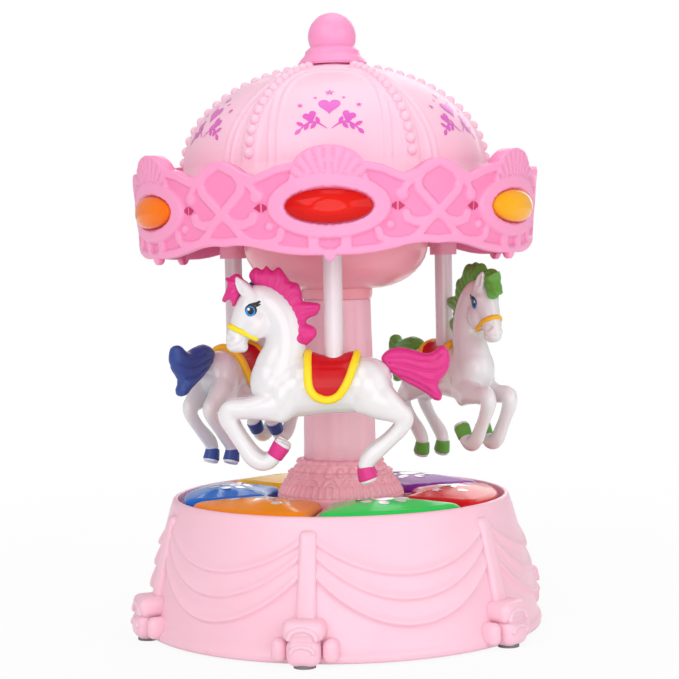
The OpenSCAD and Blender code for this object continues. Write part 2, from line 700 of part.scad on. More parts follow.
// A raised strip of the crown that follows points [x, z, width]
module strip(path, h) {
    n = len(path);
    loft([for (i = [0:n - 1])
        let (
            a = path[max(0, i - 1)],
            b = path[min(n - 1, i + 1)],
            d = [b[0] - a[0], b[1] - a[1]] / norm([b[0] - a[0], b[1] - a[1]]),
            p = path[i],
            s = [-d[1], d[0]] * p[2] / 2
        ) [
            on_crown(p[0] - s[0], p[1] - s[1], -0.5), on_crown(p[0] + s[0], p[1] + s[1], -0.5),
            on_crown(p[0] + s[0] * 0.8, p[1] + s[1] * 0.8, h), on_crown(p[0] - s[0] * 0.8, p[1] - s[1] * 0.8, h)
        ]]);
}
frame_a = gem_a + 8.2;
frame_b = gem_b + 6.6;
frame_out = band_out + 0.9;
function oval(a, b, h, n) = [for (k = [0:n - 1])
    let (t = (k + 0.5) * 360 / n) on_crown(a * cos(t), gem_z + b * sin(t), h)];
module gem_frame() {
    n = 16;
    loft([oval(frame_a, frame_b, -0.8, n), oval(frame_a, frame_b, frame_out - 0.8, n),
          oval(frame_a - 1.2, frame_b - 1.2, frame_out, n), oval(gem_a + 1, gem_b + 1, frame_out, n)]);
}
module gem_hole() {
    n = 16;
    loft([oval(gem_a + 0.1, gem_b + 0.1, -8, n), oval(gem_a + 0.1, gem_b + 0.1, 8, n)]);
}
module shell_fan() {
    z = gem_z + frame_b;
    strip([[0, z - 2, 9], [0, z + 3, 19], [0, z + 7, 24], [0, z + 10.4, 12]], band_out + 0.4);
}
module tab() {
    strip([[0, gem_z - frame_b + 1, 12], [0, crown_low + 1, 12], [0, crown_low - 1.6, 6], [0, crown_low - 5.8, 3]],
          band_out + 0.3);
}
module canopy_crown() {
    color([1, 0.6, 0.79]) rotate([0, 0, canopy_turn]) difference() {
        union() {
            crown_wall();
            ring(crown_in + 0.4, crown_in - 3, canopy_floor_z - 2.2, 2, 60);
            each_side(step60 / 2) {
                translate([0, boss_in - crown_in, 0])
                    rod(3.2, canopy_floor_z + canopy_floor_t, brim_z - 0.1 - canopy_floor_z - canopy_floor_t, 8);
                translate([-1.2, -crown_in - 0.5, canopy_floor_z + canopy_floor_t]) cube([2.4, 4, 12]);
            }
            each_side(0) {
                gem_frame();
                shell_fan();
                tab();
            }
        }
        each_side(0) gem_hole();
        each_side(step60 / 2) translate([0, boss_in - crown_in, 0]) rod(1.5, canopy_floor_z, 12, 12);
    }
}
module gem() {
    n = 16;
    g = fit / 2;
    f = frame_out;
    loft([oval(gem_a - g, gem_b - g, -2, n), oval(gem_a - g, gem_b - g, f - 0.2, n),
          oval(gem_a * 0.9, gem_b * 0.84, f + gem_out * 0.62, n), oval(gem_a * 0.56, gem_b * 0.5, f + gem_out, n)]);
}
module gems(first) { rotate([0, 0, canopy_turn]) for (k = [first, first + 3]) rotate([0, 0, k * step60]) gem(); }
module red_gems() { color([0.9, 0.08, 0.05]) gems(0); }
module yellow_gems() { color([1, 0.75, 0.1]) gems(1); }
module orange_gems() { color([1, 0.5, 0.05]) gems(2); }

function dome_side(d) = [for (t = [0:6:78]) [(dome_r - d) * cos(t), dome_z + (dome_h - d) * sin(t)]];
module canopy_dome() {
    inner = [for (p = dome_side(wall)) if (p[0] > cap_r - 3) p];
    outer = [for (p = dome_side(0)) if (p[0] > cap_r) p];
    beads = 13;
    color([1, 0.8, 0.87]) rotate([0, 0, canopy_turn]) union() {
        rotate([0, 0, 15]) rotate_extrude($fn = 96) polygon(concat(
            [[crown_in - 0.5, brim_z], [crown_in - 0.5, brim_z + 2], [dome_r + 2, brim_z + 4], [dome_r + 1.4, dome_z - 2]],
            outer,
            [[cap_r, cap_z], [6, cap_z + 0.6], [6, cap_z - 1.6]],
            [for (k = [len(inner) - 1:-1:0]) inner[k]],
            [[dome_r - wall, brim_z]]));
        each_side(step60 / 2) for (k = [0:beads - 1])
            let (t = 3 + 6 * k)
            translate(at((dome_r + 0.6) * cos(t), 0, dome_z + (dome_h + 0.6) * sin(t))) rotate([0, 0, 20]) sphere(r = 2.4, $fn = 24);
    }
}
module finial() {
    z = cap_z + 0.6;
    b = finial_top - 9.6;
    color([0.98, 0.6, 0.78]) difference() {
        union() {
            rotate_extrude($fn = 96) polygon([
                [0, z], [cap_r - 0.4, z], [cap_r, z + 1.2], [cap_r - 1.4, z + 3.2], [13.8, z + 5],
                [13.2, z + 7.2], [10.4, z + 9.6], [9.8, b - 4], [0, b - 4]
            ]);
            intersection() {
                translate([0, 0, b - 2]) sphere(r = ball_r, $fn = 64);
                rod(ball_r + 1, b - 8, 30);
            }
        }
        rod(1.5, z - 1, 12);
    }
}

// ---------- horses ----------
// A horse's own x runs forwards from its pole, z is a height over the floor.

// A ring round a limb: centre, half thickness in the side view, half width across, direction angle
function limb_ring(s, dir, n) = [for (k = [0:n - 1]) let (t = -k * 360 / n) [
    s[0] - s[3] * cos(t) * sin(dir), s[1] + s[4] * sin(t), s[2] + s[3] * cos(t) * cos(dir) + horse_z - 122
]];
module limb(stations, n = 10) {
    m = len(stations);
    loft([for (i = [0:m - 1])
        let (a = stations[max(0, i - 1)], b = stations[min(m - 1, i + 1)])
        limb_ring(stations[i], atan2(b[2] - a[2], b[0] - a[0]), n)]);
}
// Each station is [x, y, height, half thickness, half width]
torso = [[-27.5, 0, 122, 4, 4], [-25, 0, 122, 9, 7], [-19, 0, 122.4, 12.2, 9.4], [-9, 0, 122, 13, 10.4],
    [3, 0, 121.6, 13, 10.6], [14, 0, 121.6, 14.4, 10.4], [24, 0, 120.6, 14.4, 9.6], [32, 0, 119.6, 11.4, 8],
    [36.5, 0, 119.4, 7.4, 5.6], [38.6, 0, 119.4, 3, 2.6]];
neck = [[24, 0, 120, 12, 8.6], [23, 0, 130, 12.4, 8.4], [21.4, 0, 139, 10, 7.2], [21.8, 0, 148, 9.2, 6.4],
    [25.4, 0, 156, 8.8, 6], [31, 0, 162, 7.4, 5.4], [36.4, 0, 165, 4, 3.8]];
head = [[34, 0, 165, 3, 3], [35, 0, 162.6, 6.6, 5.2], [37.6, 0, 157.6, 7.8, 6.2], [40.8, 0, 151.8, 6.6, 5.2],
    [43.4, 0, 146.8, 5.4, 4.5], [45, 0, 142.6, 4.9, 4.5], [46.2, 0, 139, 3, 2.8]];
fore_leg = [[24, -1, 116, 9, 4.4], [33, 0, 113.8, 6.4, 4.6], [41.5, 0, 112.8, 4.7, 4], [48.4, 0, 111, 4.2, 3.7],
    [47.4, 0, 105, 3.9, 3.5], [42.6, 0, 96.6, 3.3, 3], [37.8, 0, 89.4, 3.5, 3.1], [33.6, 0, 87.4, 3.2, 3],
    [29.4, 0, 89.6, 3, 3]];
hind_leg = [[-15, -1, 118, 10, 5], [-22, 0, 113, 8, 5.2], [-28, 0, 109, 5.3, 4.1], [-32, 0, 106.4, 4, 3.5],
    [-30, 0, 102, 3.6, 3.2], [-23.6, 0, 96, 3.2, 2.9], [-17.4, 0, 90.6, 3.4, 3.1], [-15, 0, 85.4, 3, 3]];
// Where a leg's stations go on one side; the far legs are a little behind the near ones
function on_side(stations, s, reach) = [for (i = [0:len(stations) - 1])
    let (p = stations[i], t = i / (len(stations) - 1))
    [p[0] + reach * t * (s - 1) / 2, s * (leg_y + p[1]), p[2] - reach * t * (s - 1) / 4, p[3], p[4]]];
module hoof(top, low, r) {
    lift = horse_z - 122;
    hull() {
        translate([top[0], top[1], top[2] + lift]) sphere(r = r * 0.8, $fn = 6);
        translate([low[0], low[1], low[2] + lift]) sphere(r = r, $fn = 6);
    }
}
module horse_form() {
    limb(torso, 10);
    limb(neck, 10);
    limb(head, 10);
    for (s = [-1, 1]) {
        limb(on_side(fore_leg, s, 2.4), 6);
        limb(on_side(hind_leg, s, -3), 6);
        dx = 1.2 * (s - 1);
        hoof([28 + dx, s * leg_y, 90.4 + dx / 2], [24.8 + dx, s * leg_y, 92.6 + dx / 2], 3.9);
        dh = 1.5 * (1 - s);
        hoof([-15 + dh, s * leg_y, 84 + dh / 2], [-15.4 + dh, s * leg_y, 80.4 + dh / 2], 3.8);
        // ear
        hull() {
            translate([40.6, s * 3.2, 164 + horse_z - 122]) sphere(r = 2.2, $fn = 6);
            translate([43.6, s * 4, 170.4 + horse_z - 122]) sphere(r = 0.8, $fn = 6);
        }
        // brow over the eye
        hull() {
            translate([40, s * 5, 158 + horse_z - 122]) sphere(r = 1.6, $fn = 6);
            translate([37, s * 5.4, 155 + horse_z - 122]) sphere(r = 1.4, $fn = 6);
        }
    }
}
module horse_solid() {
    difference() {
        horse_form();
        rod(pole_r + 0.12, pole_foot - 0.05, 30, 24);
    }
}
mane_line = [[44, 0, 160, 0.8, 0.8], [45.8, 0, 163.6, 2.2, 1.8], [43.4, 0, 167.6, 2.4, 2.2], [39.6, 0, 169.8, 1.8, 2.2],
    [35.6, 0, 171.4, 3.8, 2.8], [31.4, 0, 171.6, 3.2, 3], [27, 0, 170, 3.8, 3], [23, 0, 168.8, 5, 3], [18.6, 0, 166, 4, 3],
    [14.8, 0, 161.4, 3.6, 3], [10.6, 0, 157, 4.8, 2.8], [10.4, 0, 151.6, 2.2, 2.4], [9.8, 0, 146.8, 3, 2.4],
    [12.6, 0, 142.6, 1.8, 1.8], [15.4, 0, 140.6, 0.7, 0.7]];
tail_line = [[-19, 0, 130, 2, 2], [-24, 0, 132.6, 3.6, 3.2], [-30, 0, 131.6, 6.4, 4.4], [-37, 0, 128.6, 8.2, 5],
    [-43, 0, 127.4, 9, 5], [-48, 0, 126.4, 8, 4.4], [-50.6, 0, 121.4, 4.6, 3.4], [-48.6, 0, 116.4, 2.2, 2],
    [-46.4, 0, 113.8, 0.8, 0.8]];
module placed(i) {
    rotate([0, 0, canopy_turn + i * 120]) translate([0, -pole_circle, 0]) rotate([0, 0, 180]) children();
}
module mane_piece() {
    difference() {
        limb(mane_line, 6);
        horse_form();
    }
}
module tail_piece() {
    difference() {
        limb(tail_line, 7);
        horse_form();
    }
}
function grown(stations, d) = [for (s = stations) [s[0], s[1], s[2], s[3] + d, s[4] + d]];
module saddle_side(d) {
    translate([0, 30, horse_z - 122]) rotate([90, 0, 0]) linear_extrude(60)
        polygon([for (t = [0:30:180]) [1.8 - (10.6 - d) * cos(t), 126 - (10.6 - d) * sin(t)], [12.4 - d, 150], [-8.8 + d, 150]]);
}
module saddle_piece() {
    difference() {
        union() {
            intersection() {
                limb(grown(torso, 1.9), 8);
                difference() {
                    saddle_side(0);
                    saddle_side(2.6);
                }
            }
            intersection() {
                limb(grown(torso, 1.2), 8);
                saddle_side(2);
            }
        }
        horse_form();
        rod(pole_r + 0.12, 100, 60, 24);
    }
}
module horse_1_body() { color("white") placed(0) horse_solid(); }
module horse_2_body() { color("white") placed(1) horse_solid(); }
module horse_3_body() { color("white") placed(2) horse_solid(); }
module horse_1_mane() { color([0.91, 0.2, 0.5]) placed(0) mane_piece(); }
module horse_2_mane() { color([0.35, 0.55, 0.2]) placed(1) mane_piece(); }
module horse_3_mane() { color([0.15, 0.2, 0.5]) placed(2) mane_piece(); }
module horse_1_tail() { color([0.91, 0.2, 0.5]) placed(0) tail_piece(); }
module horse_2_tail() { color([0.35, 0.55, 0.2]) placed(1) tail_piece(); }
module horse_3_tail() { color([0.15, 0.2, 0.5]) placed(2) tail_piece(); }
module horse_1_saddle() { color([0.88, 0.1, 0.1]) placed(0) saddle_piece(); }
module horse_2_saddle() { color([0.88, 0.1, 0.1]) placed(1) saddle_piece(); }
module horse_3_saddle() { color([0.88, 0.1, 0.1]) placed(2) saddle_piece(); }

base_shell();
bottom_plate();
battery_door();
battery_door_screw();
batteries();
battery_contacts();
foot_pads();
base_screws();
pad_deck();
circuit_board();
board_leds();
board_screws();
key_domes();
switch_body();
switch_knob();
speaker();
pedestal();
column();
column_screws();
bell();
shaft_bushes();
gearbox_base();
gearbox_cover();
gearbox_screws();
idler_axles();
motor();
motor_pinion();
idler_gear_1();
idler_gear_2();
main_gear();
drive_shaft();
canopy_hub();
canopy_floor();
canopy_screws();
pole_sockets();
poles();
canopy_crown();
red_gems();
yellow_gems();
orange_gems();
canopy_dome();
finial();
horse_1_body();
horse_1_mane();
horse_1_tail();
horse_1_saddle();
horse_2_body();
horse_2_mane();
horse_2_tail();
horse_2_saddle();
horse_3_body();
horse_3_mane();
horse_3_tail();
horse_3_saddle();
pad_1_orange();
pad_2_green();
pad_3_red();
pad_4_purple();
pad_5_yellow();
pad_6_blue();
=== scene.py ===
import math

import bmesh
import bpy
import numpy as np
from mathutils import Matrix, Vector
from mathutils.bvhtree import BVHTree


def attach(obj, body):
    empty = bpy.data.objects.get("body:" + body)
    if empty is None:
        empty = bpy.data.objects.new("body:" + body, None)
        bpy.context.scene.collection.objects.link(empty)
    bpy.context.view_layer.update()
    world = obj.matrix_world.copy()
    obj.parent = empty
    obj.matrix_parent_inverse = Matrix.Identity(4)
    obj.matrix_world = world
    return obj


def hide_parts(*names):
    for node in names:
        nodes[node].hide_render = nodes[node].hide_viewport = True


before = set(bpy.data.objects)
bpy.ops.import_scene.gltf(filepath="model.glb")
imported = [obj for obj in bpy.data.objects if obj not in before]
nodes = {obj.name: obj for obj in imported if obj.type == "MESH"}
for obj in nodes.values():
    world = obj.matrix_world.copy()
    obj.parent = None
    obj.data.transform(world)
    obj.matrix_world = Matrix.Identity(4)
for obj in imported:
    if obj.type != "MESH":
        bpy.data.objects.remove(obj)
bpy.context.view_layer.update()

# ---------------------------------------------------------------------------
# Set: a pale sweep of paper, soft lamps and a white surround.
# The camera stands almost level in front of the toy, a little above its middle.
# ---------------------------------------------------------------------------
scene = bpy.context.scene
scene.view_settings.view_transform = "Standard"
camera = bpy.data.objects.new("camera", bpy.data.cameras.new("camera"))
scene.collection.objects.link(camera)
camera.data.lens = 89.9
camera.data.sensor_width = 36.0
camera.data.clip_start = 0.02
camera.matrix_world = (
    Matrix.Translation((0.0008, -0.837, 0.176))
    @ Matrix.Rotation(math.radians(90 - 2.47), 4, "X")
    @ Matrix.Rotation(math.radians(-1.1), 4, "Z")
)
scene.camera = camera


class Sock:
    """An output in a material, which adds Math nodes when it is used in a sum."""

    def __init__(self, finish, link):
        self.finish = finish
        self.link = link

    def math(self, operation, other):
        return self.finish.node("ShaderNodeMath", {"operation": operation}, {0: self, 1: other})

    def __add__(self, other):
        return self.math("ADD", other)

    def __sub__(self, other):
        return self.math("SUBTRACT", other)

    def __mul__(self, other):
        return self.math("MULTIPLY", other)

    def __lt__(self, other):
        return self.math("LESS_THAN", other)


class Finish:
    """A material with one Principled shader, and a way to add nodes to it."""

    def __init__(self, name, **sockets):
        self.material = bpy.data.materials.new(name)
        self.material.use_nodes = True
        self.tree = self.material.node_tree
        self.shader = self.tree.nodes["Principled BSDF"]
        self.set(**sockets)

    def node(self, kind, settings=None, values=None, output=0):
        made = self.tree.nodes.new(kind)
        for key, value in (settings or {}).items():
            setattr(made, key, value)
        for key, value in (values or {}).items():
            self.put(made.inputs[key], value)
        return Sock(self, made.outputs[output])

    def put(self, socket, value):
        if isinstance(value, Sock):
            self.tree.links.new(value.link, socket)
        elif isinstance(value, tuple) and len(value) == 3 and socket.type == "RGBA":
            socket.default_value = (*value, 1)
        else:
            socket.default_value = value

    def set(self, **sockets):
        for name, value in sockets.items():
            self.put(self.shader.inputs[name.replace("_", " ")], value)

    def place(self):
        return self.node("ShaderNodeTexCoord", output="Object")

    def along(self, axis):
        apart = self.node("ShaderNodeSeparateXYZ", {}, {0: self.place()})
        return Sock(self, apart.link.node.outputs[axis])

    def off_axis(self):
        flat = self.node("ShaderNodeVectorMath", {"operation": "MULTIPLY"},
                         {0: self.place(), 1: (1.0, 1.0, 0.0)})
        return self.node("ShaderNodeVectorMath", {"operation": "LENGTH"}, {0: flat}, 1)

    def rise(self, value, low, high):
        return self.node("ShaderNodeMapRange", {}, {0: value, 1: low, 2: high, 3: 0.0, 4: 1.0})

    def noise(self, scale, detail, rough=0.5):
        return self.node("ShaderNodeTexNoise", {},
                         {"Vector": self.place(), "Scale": scale, "Detail": detail, "Roughness": rough})

    def mix(self, factor, first, second):
        return self.node("ShaderNodeMix", {"data_type": "RGBA"}, {0: factor, 6: first, 7: second}, 2)

    def bump(self, height, strength, distance):
        self.set(Normal=self.node("ShaderNodeBump", {},
                                  {"Height": height, "Strength": strength, "Distance": distance}))


def clouded(name, first, second, scale, detail=2, **sockets):
    """A finish whose colour drifts between two tones."""
    surface = Finish(name, **sockets)
    surface.set(Base_Color=surface.mix(surface.noise(scale, detail), first, second))
    return surface


# The paper takes the toy's shade close by and shines by itself further off, so that it has no edge.
paper = Finish("paper", Base_Color=(0.86, 0.86, 0.86), Roughness=0.9, Specular_IOR_Level=0.1)
glow = paper.node("ShaderNodeEmission", {}, {"Color": (1.0, 1.0, 1.0), "Strength": 1.0})
camera_ray = paper.node("ShaderNodeLightPath", output="Is Camera Ray")
glossy_ray = Sock(paper, camera_ray.link.node.outputs["Is Glossy Ray"])
distance = paper.node("ShaderNodeVectorMath", {"operation": "LENGTH"}, {0: paper.place()}, "Value")
fade = paper.node("ShaderNodeMapRange", {}, {0: distance, 1: 0.14, 2: 0.75, 3: 0.90, 4: 1.0})
glowing = camera_ray.math("MAXIMUM", glossy_ray) * fade
blend = paper.node("ShaderNodeMixShader", {}, {0: glowing, 1: Sock(paper, paper.shader.outputs[0]), 2: glow})
paper.put(paper.tree.nodes["Material Output"].inputs["Surface"], blend)
floor_mesh = bpy.data.meshes.new("floor")
floor_mesh.from_pydata([(-6, -6, 0), (6, -6, 0), (6, 6, 0), (-6, 6, 0)], [], [(0, 1, 2, 3)])
floor_mesh.materials.append(paper.material)
floor = bpy.data.objects.new("floor", floor_mesh)
scene.collection.objects.link(floor)



def join(tree, pairs):
    """Links outputs to inputs in a tree of nodes."""
    for out, into in pairs:
        tree.links.new(out, into)


surround = bpy.data.worlds.new("surround")
scene.world = surround
surround.use_nodes = True
sky = surround.node_tree.nodes
sky["Background"].inputs["Color"].default_value = (1, 1, 1, 1)
sky["Background"].inputs["Strength"].default_value = 0.55
white = sky.new("ShaderNodeBackground")
white.inputs["Color"].default_value = (1, 1, 1, 1)
white.inputs["Strength"].default_value = 1.0
ray = sky.new("ShaderNodeLightPath")
either = sky.new("ShaderNodeMath")
either.operation = "MAXIMUM"
mixed = sky.new("ShaderNodeMixShader")
join(surround.node_tree, (
    (ray.outputs["Is Camera Ray"], either.inputs[0]),
    (ray.outputs["Is Transmission Ray"], either.inputs[1]),
    (either.outputs[0], mixed.inputs[0]),
    (sky["Background"].outputs[0], mixed.inputs[1]),
    (white.outputs[0], mixed.inputs[2]),
    (mixed.outputs[0], sky["World Output"].inputs["Surface"]),
))

lit_middle = Vector((0, 0, 0.14))
for name, place, size, power in (
    ("key_lamp", (-0.75, -1.15, 1.0), 1.1, 6.6),
    ("fill_lamp", (1.0, -0.95, 0.5), 1.1, 4.5),
    ("low_lamp", (0.0, -1.45, 0.12), 1.0, 6.0),
    ("top_lamp", (0.1, 0.2, 1.5), 1.2, 4.8),
    ("rim_lamp", (0.3, 1.3, 0.7), 1.1, 4.2),
):
    lamp = bpy.data.lights.new(name, "AREA")
    lamp.shape = "DISK"
    lamp.size = size
    lamp.energy = power
    thing = bpy.data.objects.new(name, lamp)
    thing.location = place
    thing.rotation_euler = (lit_middle - Vector(place)).to_track_quat("-Z", "Y").to_euler()
    scene.collection.objects.link(thing)

# ---------------------------------------------------------------------------
# Drum: one moulded pink shell with draped swags between six rounded bars.
# Each bar stands on a foot with two lobes; the shell is open below and stands on rubber pads.
# ---------------------------------------------------------------------------
drum_turn = -10.0
rim_r, drum_h, flare = 82.5, 64.0, 15.5
wall_low, wall_high = 93.9, 83.3
swag_tops = (55.6, 50.5, 42.5)
swag_lows = (38.8, 28.0, 16.8)


def around(r, degrees, z):
    """A point in metres, at millimetres r and z, that many degrees from the front towards the right."""
    a = math.radians(degrees)
    return (r * math.sin(a) / 1000, -r * math.cos(a) / 1000, z / 1000)


def moulded_pink(name, colour, deep, rough=0.38):
    """Injection-moulded plastic: a faint clouding of the colour, and a very slightly rippled gloss."""
    surface = Finish(name, IOR=1.5, Coat_Weight=0.12, Coat_Roughness=0.2)
    surface.set(Subsurface_Weight=0.15, Subsurface_Scale=0.004, Subsurface_Radius=(1.0, 0.5, 0.5))
    surface.set(Base_Color=surface.mix(surface.noise(26, 3, 0.6), colour, deep))
    surface.set(Roughness=surface.noise(420, 3) * 0.12 + (rough - 0.06))
    surface.bump(surface.noise(150, 2), 0.06, 0.0006)
    return surface.material


shell_pink = moulded_pink("shell_pink", (0.93, 0.54, 0.65), (0.96, 0.59, 0.70))


def new_piece(name, verts, faces, material, body, slot, smooth=True, replaced=()):
    """Makes a visible piece that rides a body, and takes the place of plain pieces if any are named."""
    mesh = bpy.data.meshes.new(name)
    mesh.from_pydata([tuple(v) for v in verts], [], [tuple(f) for f in faces])
    mesh.validate()
    mesh.materials.append(material)
    mesh.polygons.foreach_set("use_smooth", [smooth] * len(mesh.polygons))
    mesh.update()
    piece = bpy.data.objects.new(name, mesh)
    scene.collection.objects.link(piece)
    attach(piece, body)
    if replaced:
        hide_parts(*replaced)
    return piece


def wrap(columns):
    """Vertices and faces of a skin made of columns of points, which goes once round and closes both ways."""
    n, m = len(columns), len(columns[0])
    verts = [p for column in columns for p in column]
    faces = [(i * m + j, (i + 1) % n * m + j, (i + 1) % n * m + (j + 1) % m, i * m + (j + 1) % m)
             for i in range(n) for j in range(m)]
    return verts, faces


def swag(u, z):
    """How far the cloth stands out: each swag swells downwards to a hem and tucks in under it."""
    hang = 4 * u * (1 - u)
    out = 0.0
    for k in range(3):
        hem = swag_tops[k] - (swag_tops[k] - swag_lows[k]) * hang
        over = (swag_tops[k - 1] - (swag_tops[k - 1] - swag_lows[k - 1]) * hang) if k else hem + 9
        d = z - hem
        if d >= 0:
            reach = max(over - hem, 2.5)
            if d < reach:
                out = max(out, 1.15 * math.exp(-(d / 2.0) ** 2) + 0.8 * (1 - d / reach) ** 1.4)
        else:
            out = max(out, 1.95 * math.exp(-(d / 1.15) ** 2))
            if k == 2:
                out -= 0.6 * (1 - math.exp(-(d / 2.5) ** 2)) * min(1, hang * 3) * math.exp(-(d / 14) ** 2)
    edge = min(u, 1 - u)
    return out * min(1, edge / 0.06)


def drum_wall(z):
    """Radius of the plain wall at a height."""
    return rim_r + flare * max(0, 1 - z / drum_h) ** 0.85


heights = [2.0, 3.0, 4.2, 5.4, 6.6] + [8 + i * 0.52 for i in range(98)]
lip = ((59.2, 0.0), (60.6, 0.0), (62.0, 0.0), (63.1, -0.1), (63.7, -0.45), (64.0, -1.1), (63.8, -1.9),
       (63.2, -2.4))
inside_of_rim = ((2.4, 56), (5.8, 56), (5.8, 52.8))
per_panel = 72
columns = []
for i in range(6 * per_panel):
    u = (i % per_panel + 0.5) / per_panel
    a = drum_turn + i / (6 * per_panel) * 360 + 60 * 0.5 / per_panel
    column = [around(wall_low, a, 1.4), around(drum_wall(2) + 0.2, a, 1.1)]
    for z in heights:
        hem = 1.1 * math.exp(-((z - 3.6) / 1.5) ** 2)
        column.append(around(drum_wall(z) + hem + swag(u, z), a, z))
    column += [around(drum_wall(z) + r, a, z) for z, r in lip]
    column += [around(rim_r - r, a, z) for r, z in inside_of_rim]
    column.append(around(wall_high, a, 52.8))
    columns.append(column)


def plain(shape):
    """Vertices and faces of a shape that was worked as a bmesh."""
    shape.verts.index_update()
    verts = [v.co.copy() for v in shape.verts]
    faces = [[v.index for v in f.verts] for f in shape.faces]
    shape.free()
    return verts, faces


def soft_block(size, rounding, taper=1.0):
    """Vertices and faces of a block with rounded edges, round its own centre, in millimetres."""
    block = bmesh.new()
    bmesh.ops.create_cube(block, size=1.0)
    for v in block.verts:
        k = taper if v.co.z > 0 else 1.0
        v.co = Vector((v.co.x * size[0] * k, v.co.y * size[1], v.co.z * size[2]))
    bmesh.ops.bevel(block, geom=block.edges[:], offset=rounding, segments=4, profile=0.5, affect="EDGES")
    return plain(block)


def turned_out(verts, faces):
    """The same faces, each turned to face outwards."""
    shape = bmesh.new()
    made = [shape.verts.new(v) for v in verts]
    for face in faces:
        shape.faces.new([made[i] for i in face])
    bmesh.ops.recalc_face_normals(shape, faces=shape.faces[:])
    return plain(shape)[1]


def put_in(store, verts, faces, place):
    """Adds a shape to a list of vertices and faces, each vertex moved by a function."""
    start = len(store[0])
    store[0].extend(place(v) for v in verts)
    store[1].extend([start + i for i in f] for f in faces)


def ring_faces(rings, n, start=0, closed=False):
    """Faces between neighbouring rings of n points; closed joins the last ring to the first."""
    faces = []
    for i in range(rings if closed else rings - 1):
        here, there = start + i * n, start + (i + 1) % rings * n
        faces += [(here + j, here + (j + 1) % n, there + (j + 1) % n, there + j) for j in range(n)]
    return faces


def curve_through(stations, per):
    """Points on a smooth curve through stations, so many for each stretch."""
    p = np.array(stations, float)
    p = np.vstack([2 * p[0] - p[1], p, 2 * p[-1] - p[-2]])
    out = []
    for i in range(1, len(p) - 2):
        for t in np.arange(per) / per:
            out.append(0.5 * (2 * p[i] + (p[i + 1] - p[i - 1]) * t
                              + (2 * p[i - 1] - 5 * p[i] + 4 * p[i + 1] - p[i + 2]) * t * t
                              + (3 * p[i] - p[i - 1] - 3 * p[i + 1] + p[i + 2]) * t ** 3))
    return np.array(out + [p[-2]])


def circle(n):
    """Angles of n points spaced evenly round a circle."""
    return [2 * math.pi * k / n for k in range(n)]


def hoop(middle, first, a, second, b, n):
    """A ring of n points round a middle, reaching a and b along two directions."""
    return [middle + first * a * math.cos(t) + second * b * math.sin(t) for t in circle(n)]


def limb(stations, n=20, per=5, dome=0.7):
    """A closed tube with domed ends along stations of ahead, across, up, half depth and half width."""
    line = curve_through(stations, per)
    way = np.gradient(line[:, :3], axis=0)
    way /= np.linalg.norm(way, axis=1)[:, None]
    rows = [(p[:3], w, p[3:]) for p, w in zip(line, way)]
    first, last = line[0], line[-1]
    for k in (0.5, 1.0, 1.45):
        rows.insert(0, (first[:3] - way[0] * first[3] * dome * math.sin(k), way[0], first[3:] * math.cos(k)))
        rows.append((last[:3] + way[-1] * last[3] * dome * math.sin(k), way[-1], last[3:] * math.cos(k)))
    side = np.array((0.0, 1.0, 0.0))
    verts = []
    for middle, ahead, (deep, wide) in rows:
        up = np.cross(side, ahead)
        up /= np.linalg.norm(up)
        verts += hoop(middle, up, deep, side, wide, n)
    m = len(rows)
    faces = ring_faces(m, n) + [tuple(range(n)), tuple(range((m - 1) * n, m * n))]
    return verts, turned_out(verts, faces)


bar_low, bar_high = 17, 57
low_r, high_r = drum_wall(bar_low), drum_wall(bar_high)
bar_lean = -(low_r - high_r) / (bar_high - bar_low)
front = rim_r + flare + 8.0
drum = [[], []]
put_in(drum, *wrap(columns), tuple)
for side in range(6):
    turn = Matrix.Rotation(math.radians(drum_turn + side * 60), 4, "Z")

    def stand(lean, x, y, z):
        """Moves a shape out to the wall at x, y and z on this side, leaned by a slope."""
        return lambda v: tuple(turn @ Vector(((v[0] + x) / 1000, -(y - v[1] + lean * v[2]) / 1000,
                                              (v[2] + z) / 1000)))

    verts, faces = soft_block((9.4, 6.0, 41.5), 2.3, 0.84)
    put_in(drum, verts, faces, stand(bar_lean, 0, (high_r + low_r) / 2 - 0.4, 37.6))
    for size, rounding, x, inward, z in (
        ((18.8, 14.0, 9.6), 3.7, 0, 8.2, 16.4),
        ((15.4, 15.0, 12.6), 4.4, 0, 7.5, 7.2),
        ((12.5, 14.0, 9.0), 2.0, 0, 8.4, 12.2),
        ((7.2, 10.0, 10.6), 3.3, -11.6, 8.8, 7.4),
        ((7.2, 10.0, 10.6), 3.3, 11.6, 8.8, 7.4),
    ):
        verts, faces = soft_block(size, rounding)
        put_in(drum, verts, faces, stand(0, x, front - inward, z))
    for wide, high, foot_z, thick, inward in ((6.2, 4.2, 13.4, 1.3, 1.7), (5.0, 2.6, 7.6, 1.2, 0.8)):
        arch = [(wide * math.cos(t), 0, foot_z + high * math.sin(t), thick, 1.3)
                for t in np.linspace(0, math.pi, 9)]
        verts, faces = limb(arch, 12, 3)
        put_in(drum, verts, faces, stand(0, 0, front - inward, 0))
new_piece("drum_shell", drum[0], drum[1], shell_pink, "base", "pink_shell", replaced=("base_shell",))


def finish_node(name, material, angle=34):
    """Gives a CAD piece its material, and smooth shading up to its real edges."""
    part = nodes[name]
    part.data.materials.clear()
    part.data.materials.append(material)
    part.data.polygons.foreach_set("use_smooth", [True] * len(part.data.polygons))
    part.data.polygons.foreach_set("material_index", [0] * len(part.data.polygons))
    weld = part.modifiers.new("weld", "WELD")
    weld.merge_threshold = 0.000004
    split = part.modifiers.new("edges", "EDGE_SPLIT")
    split.split_angle = math.radians(angle)


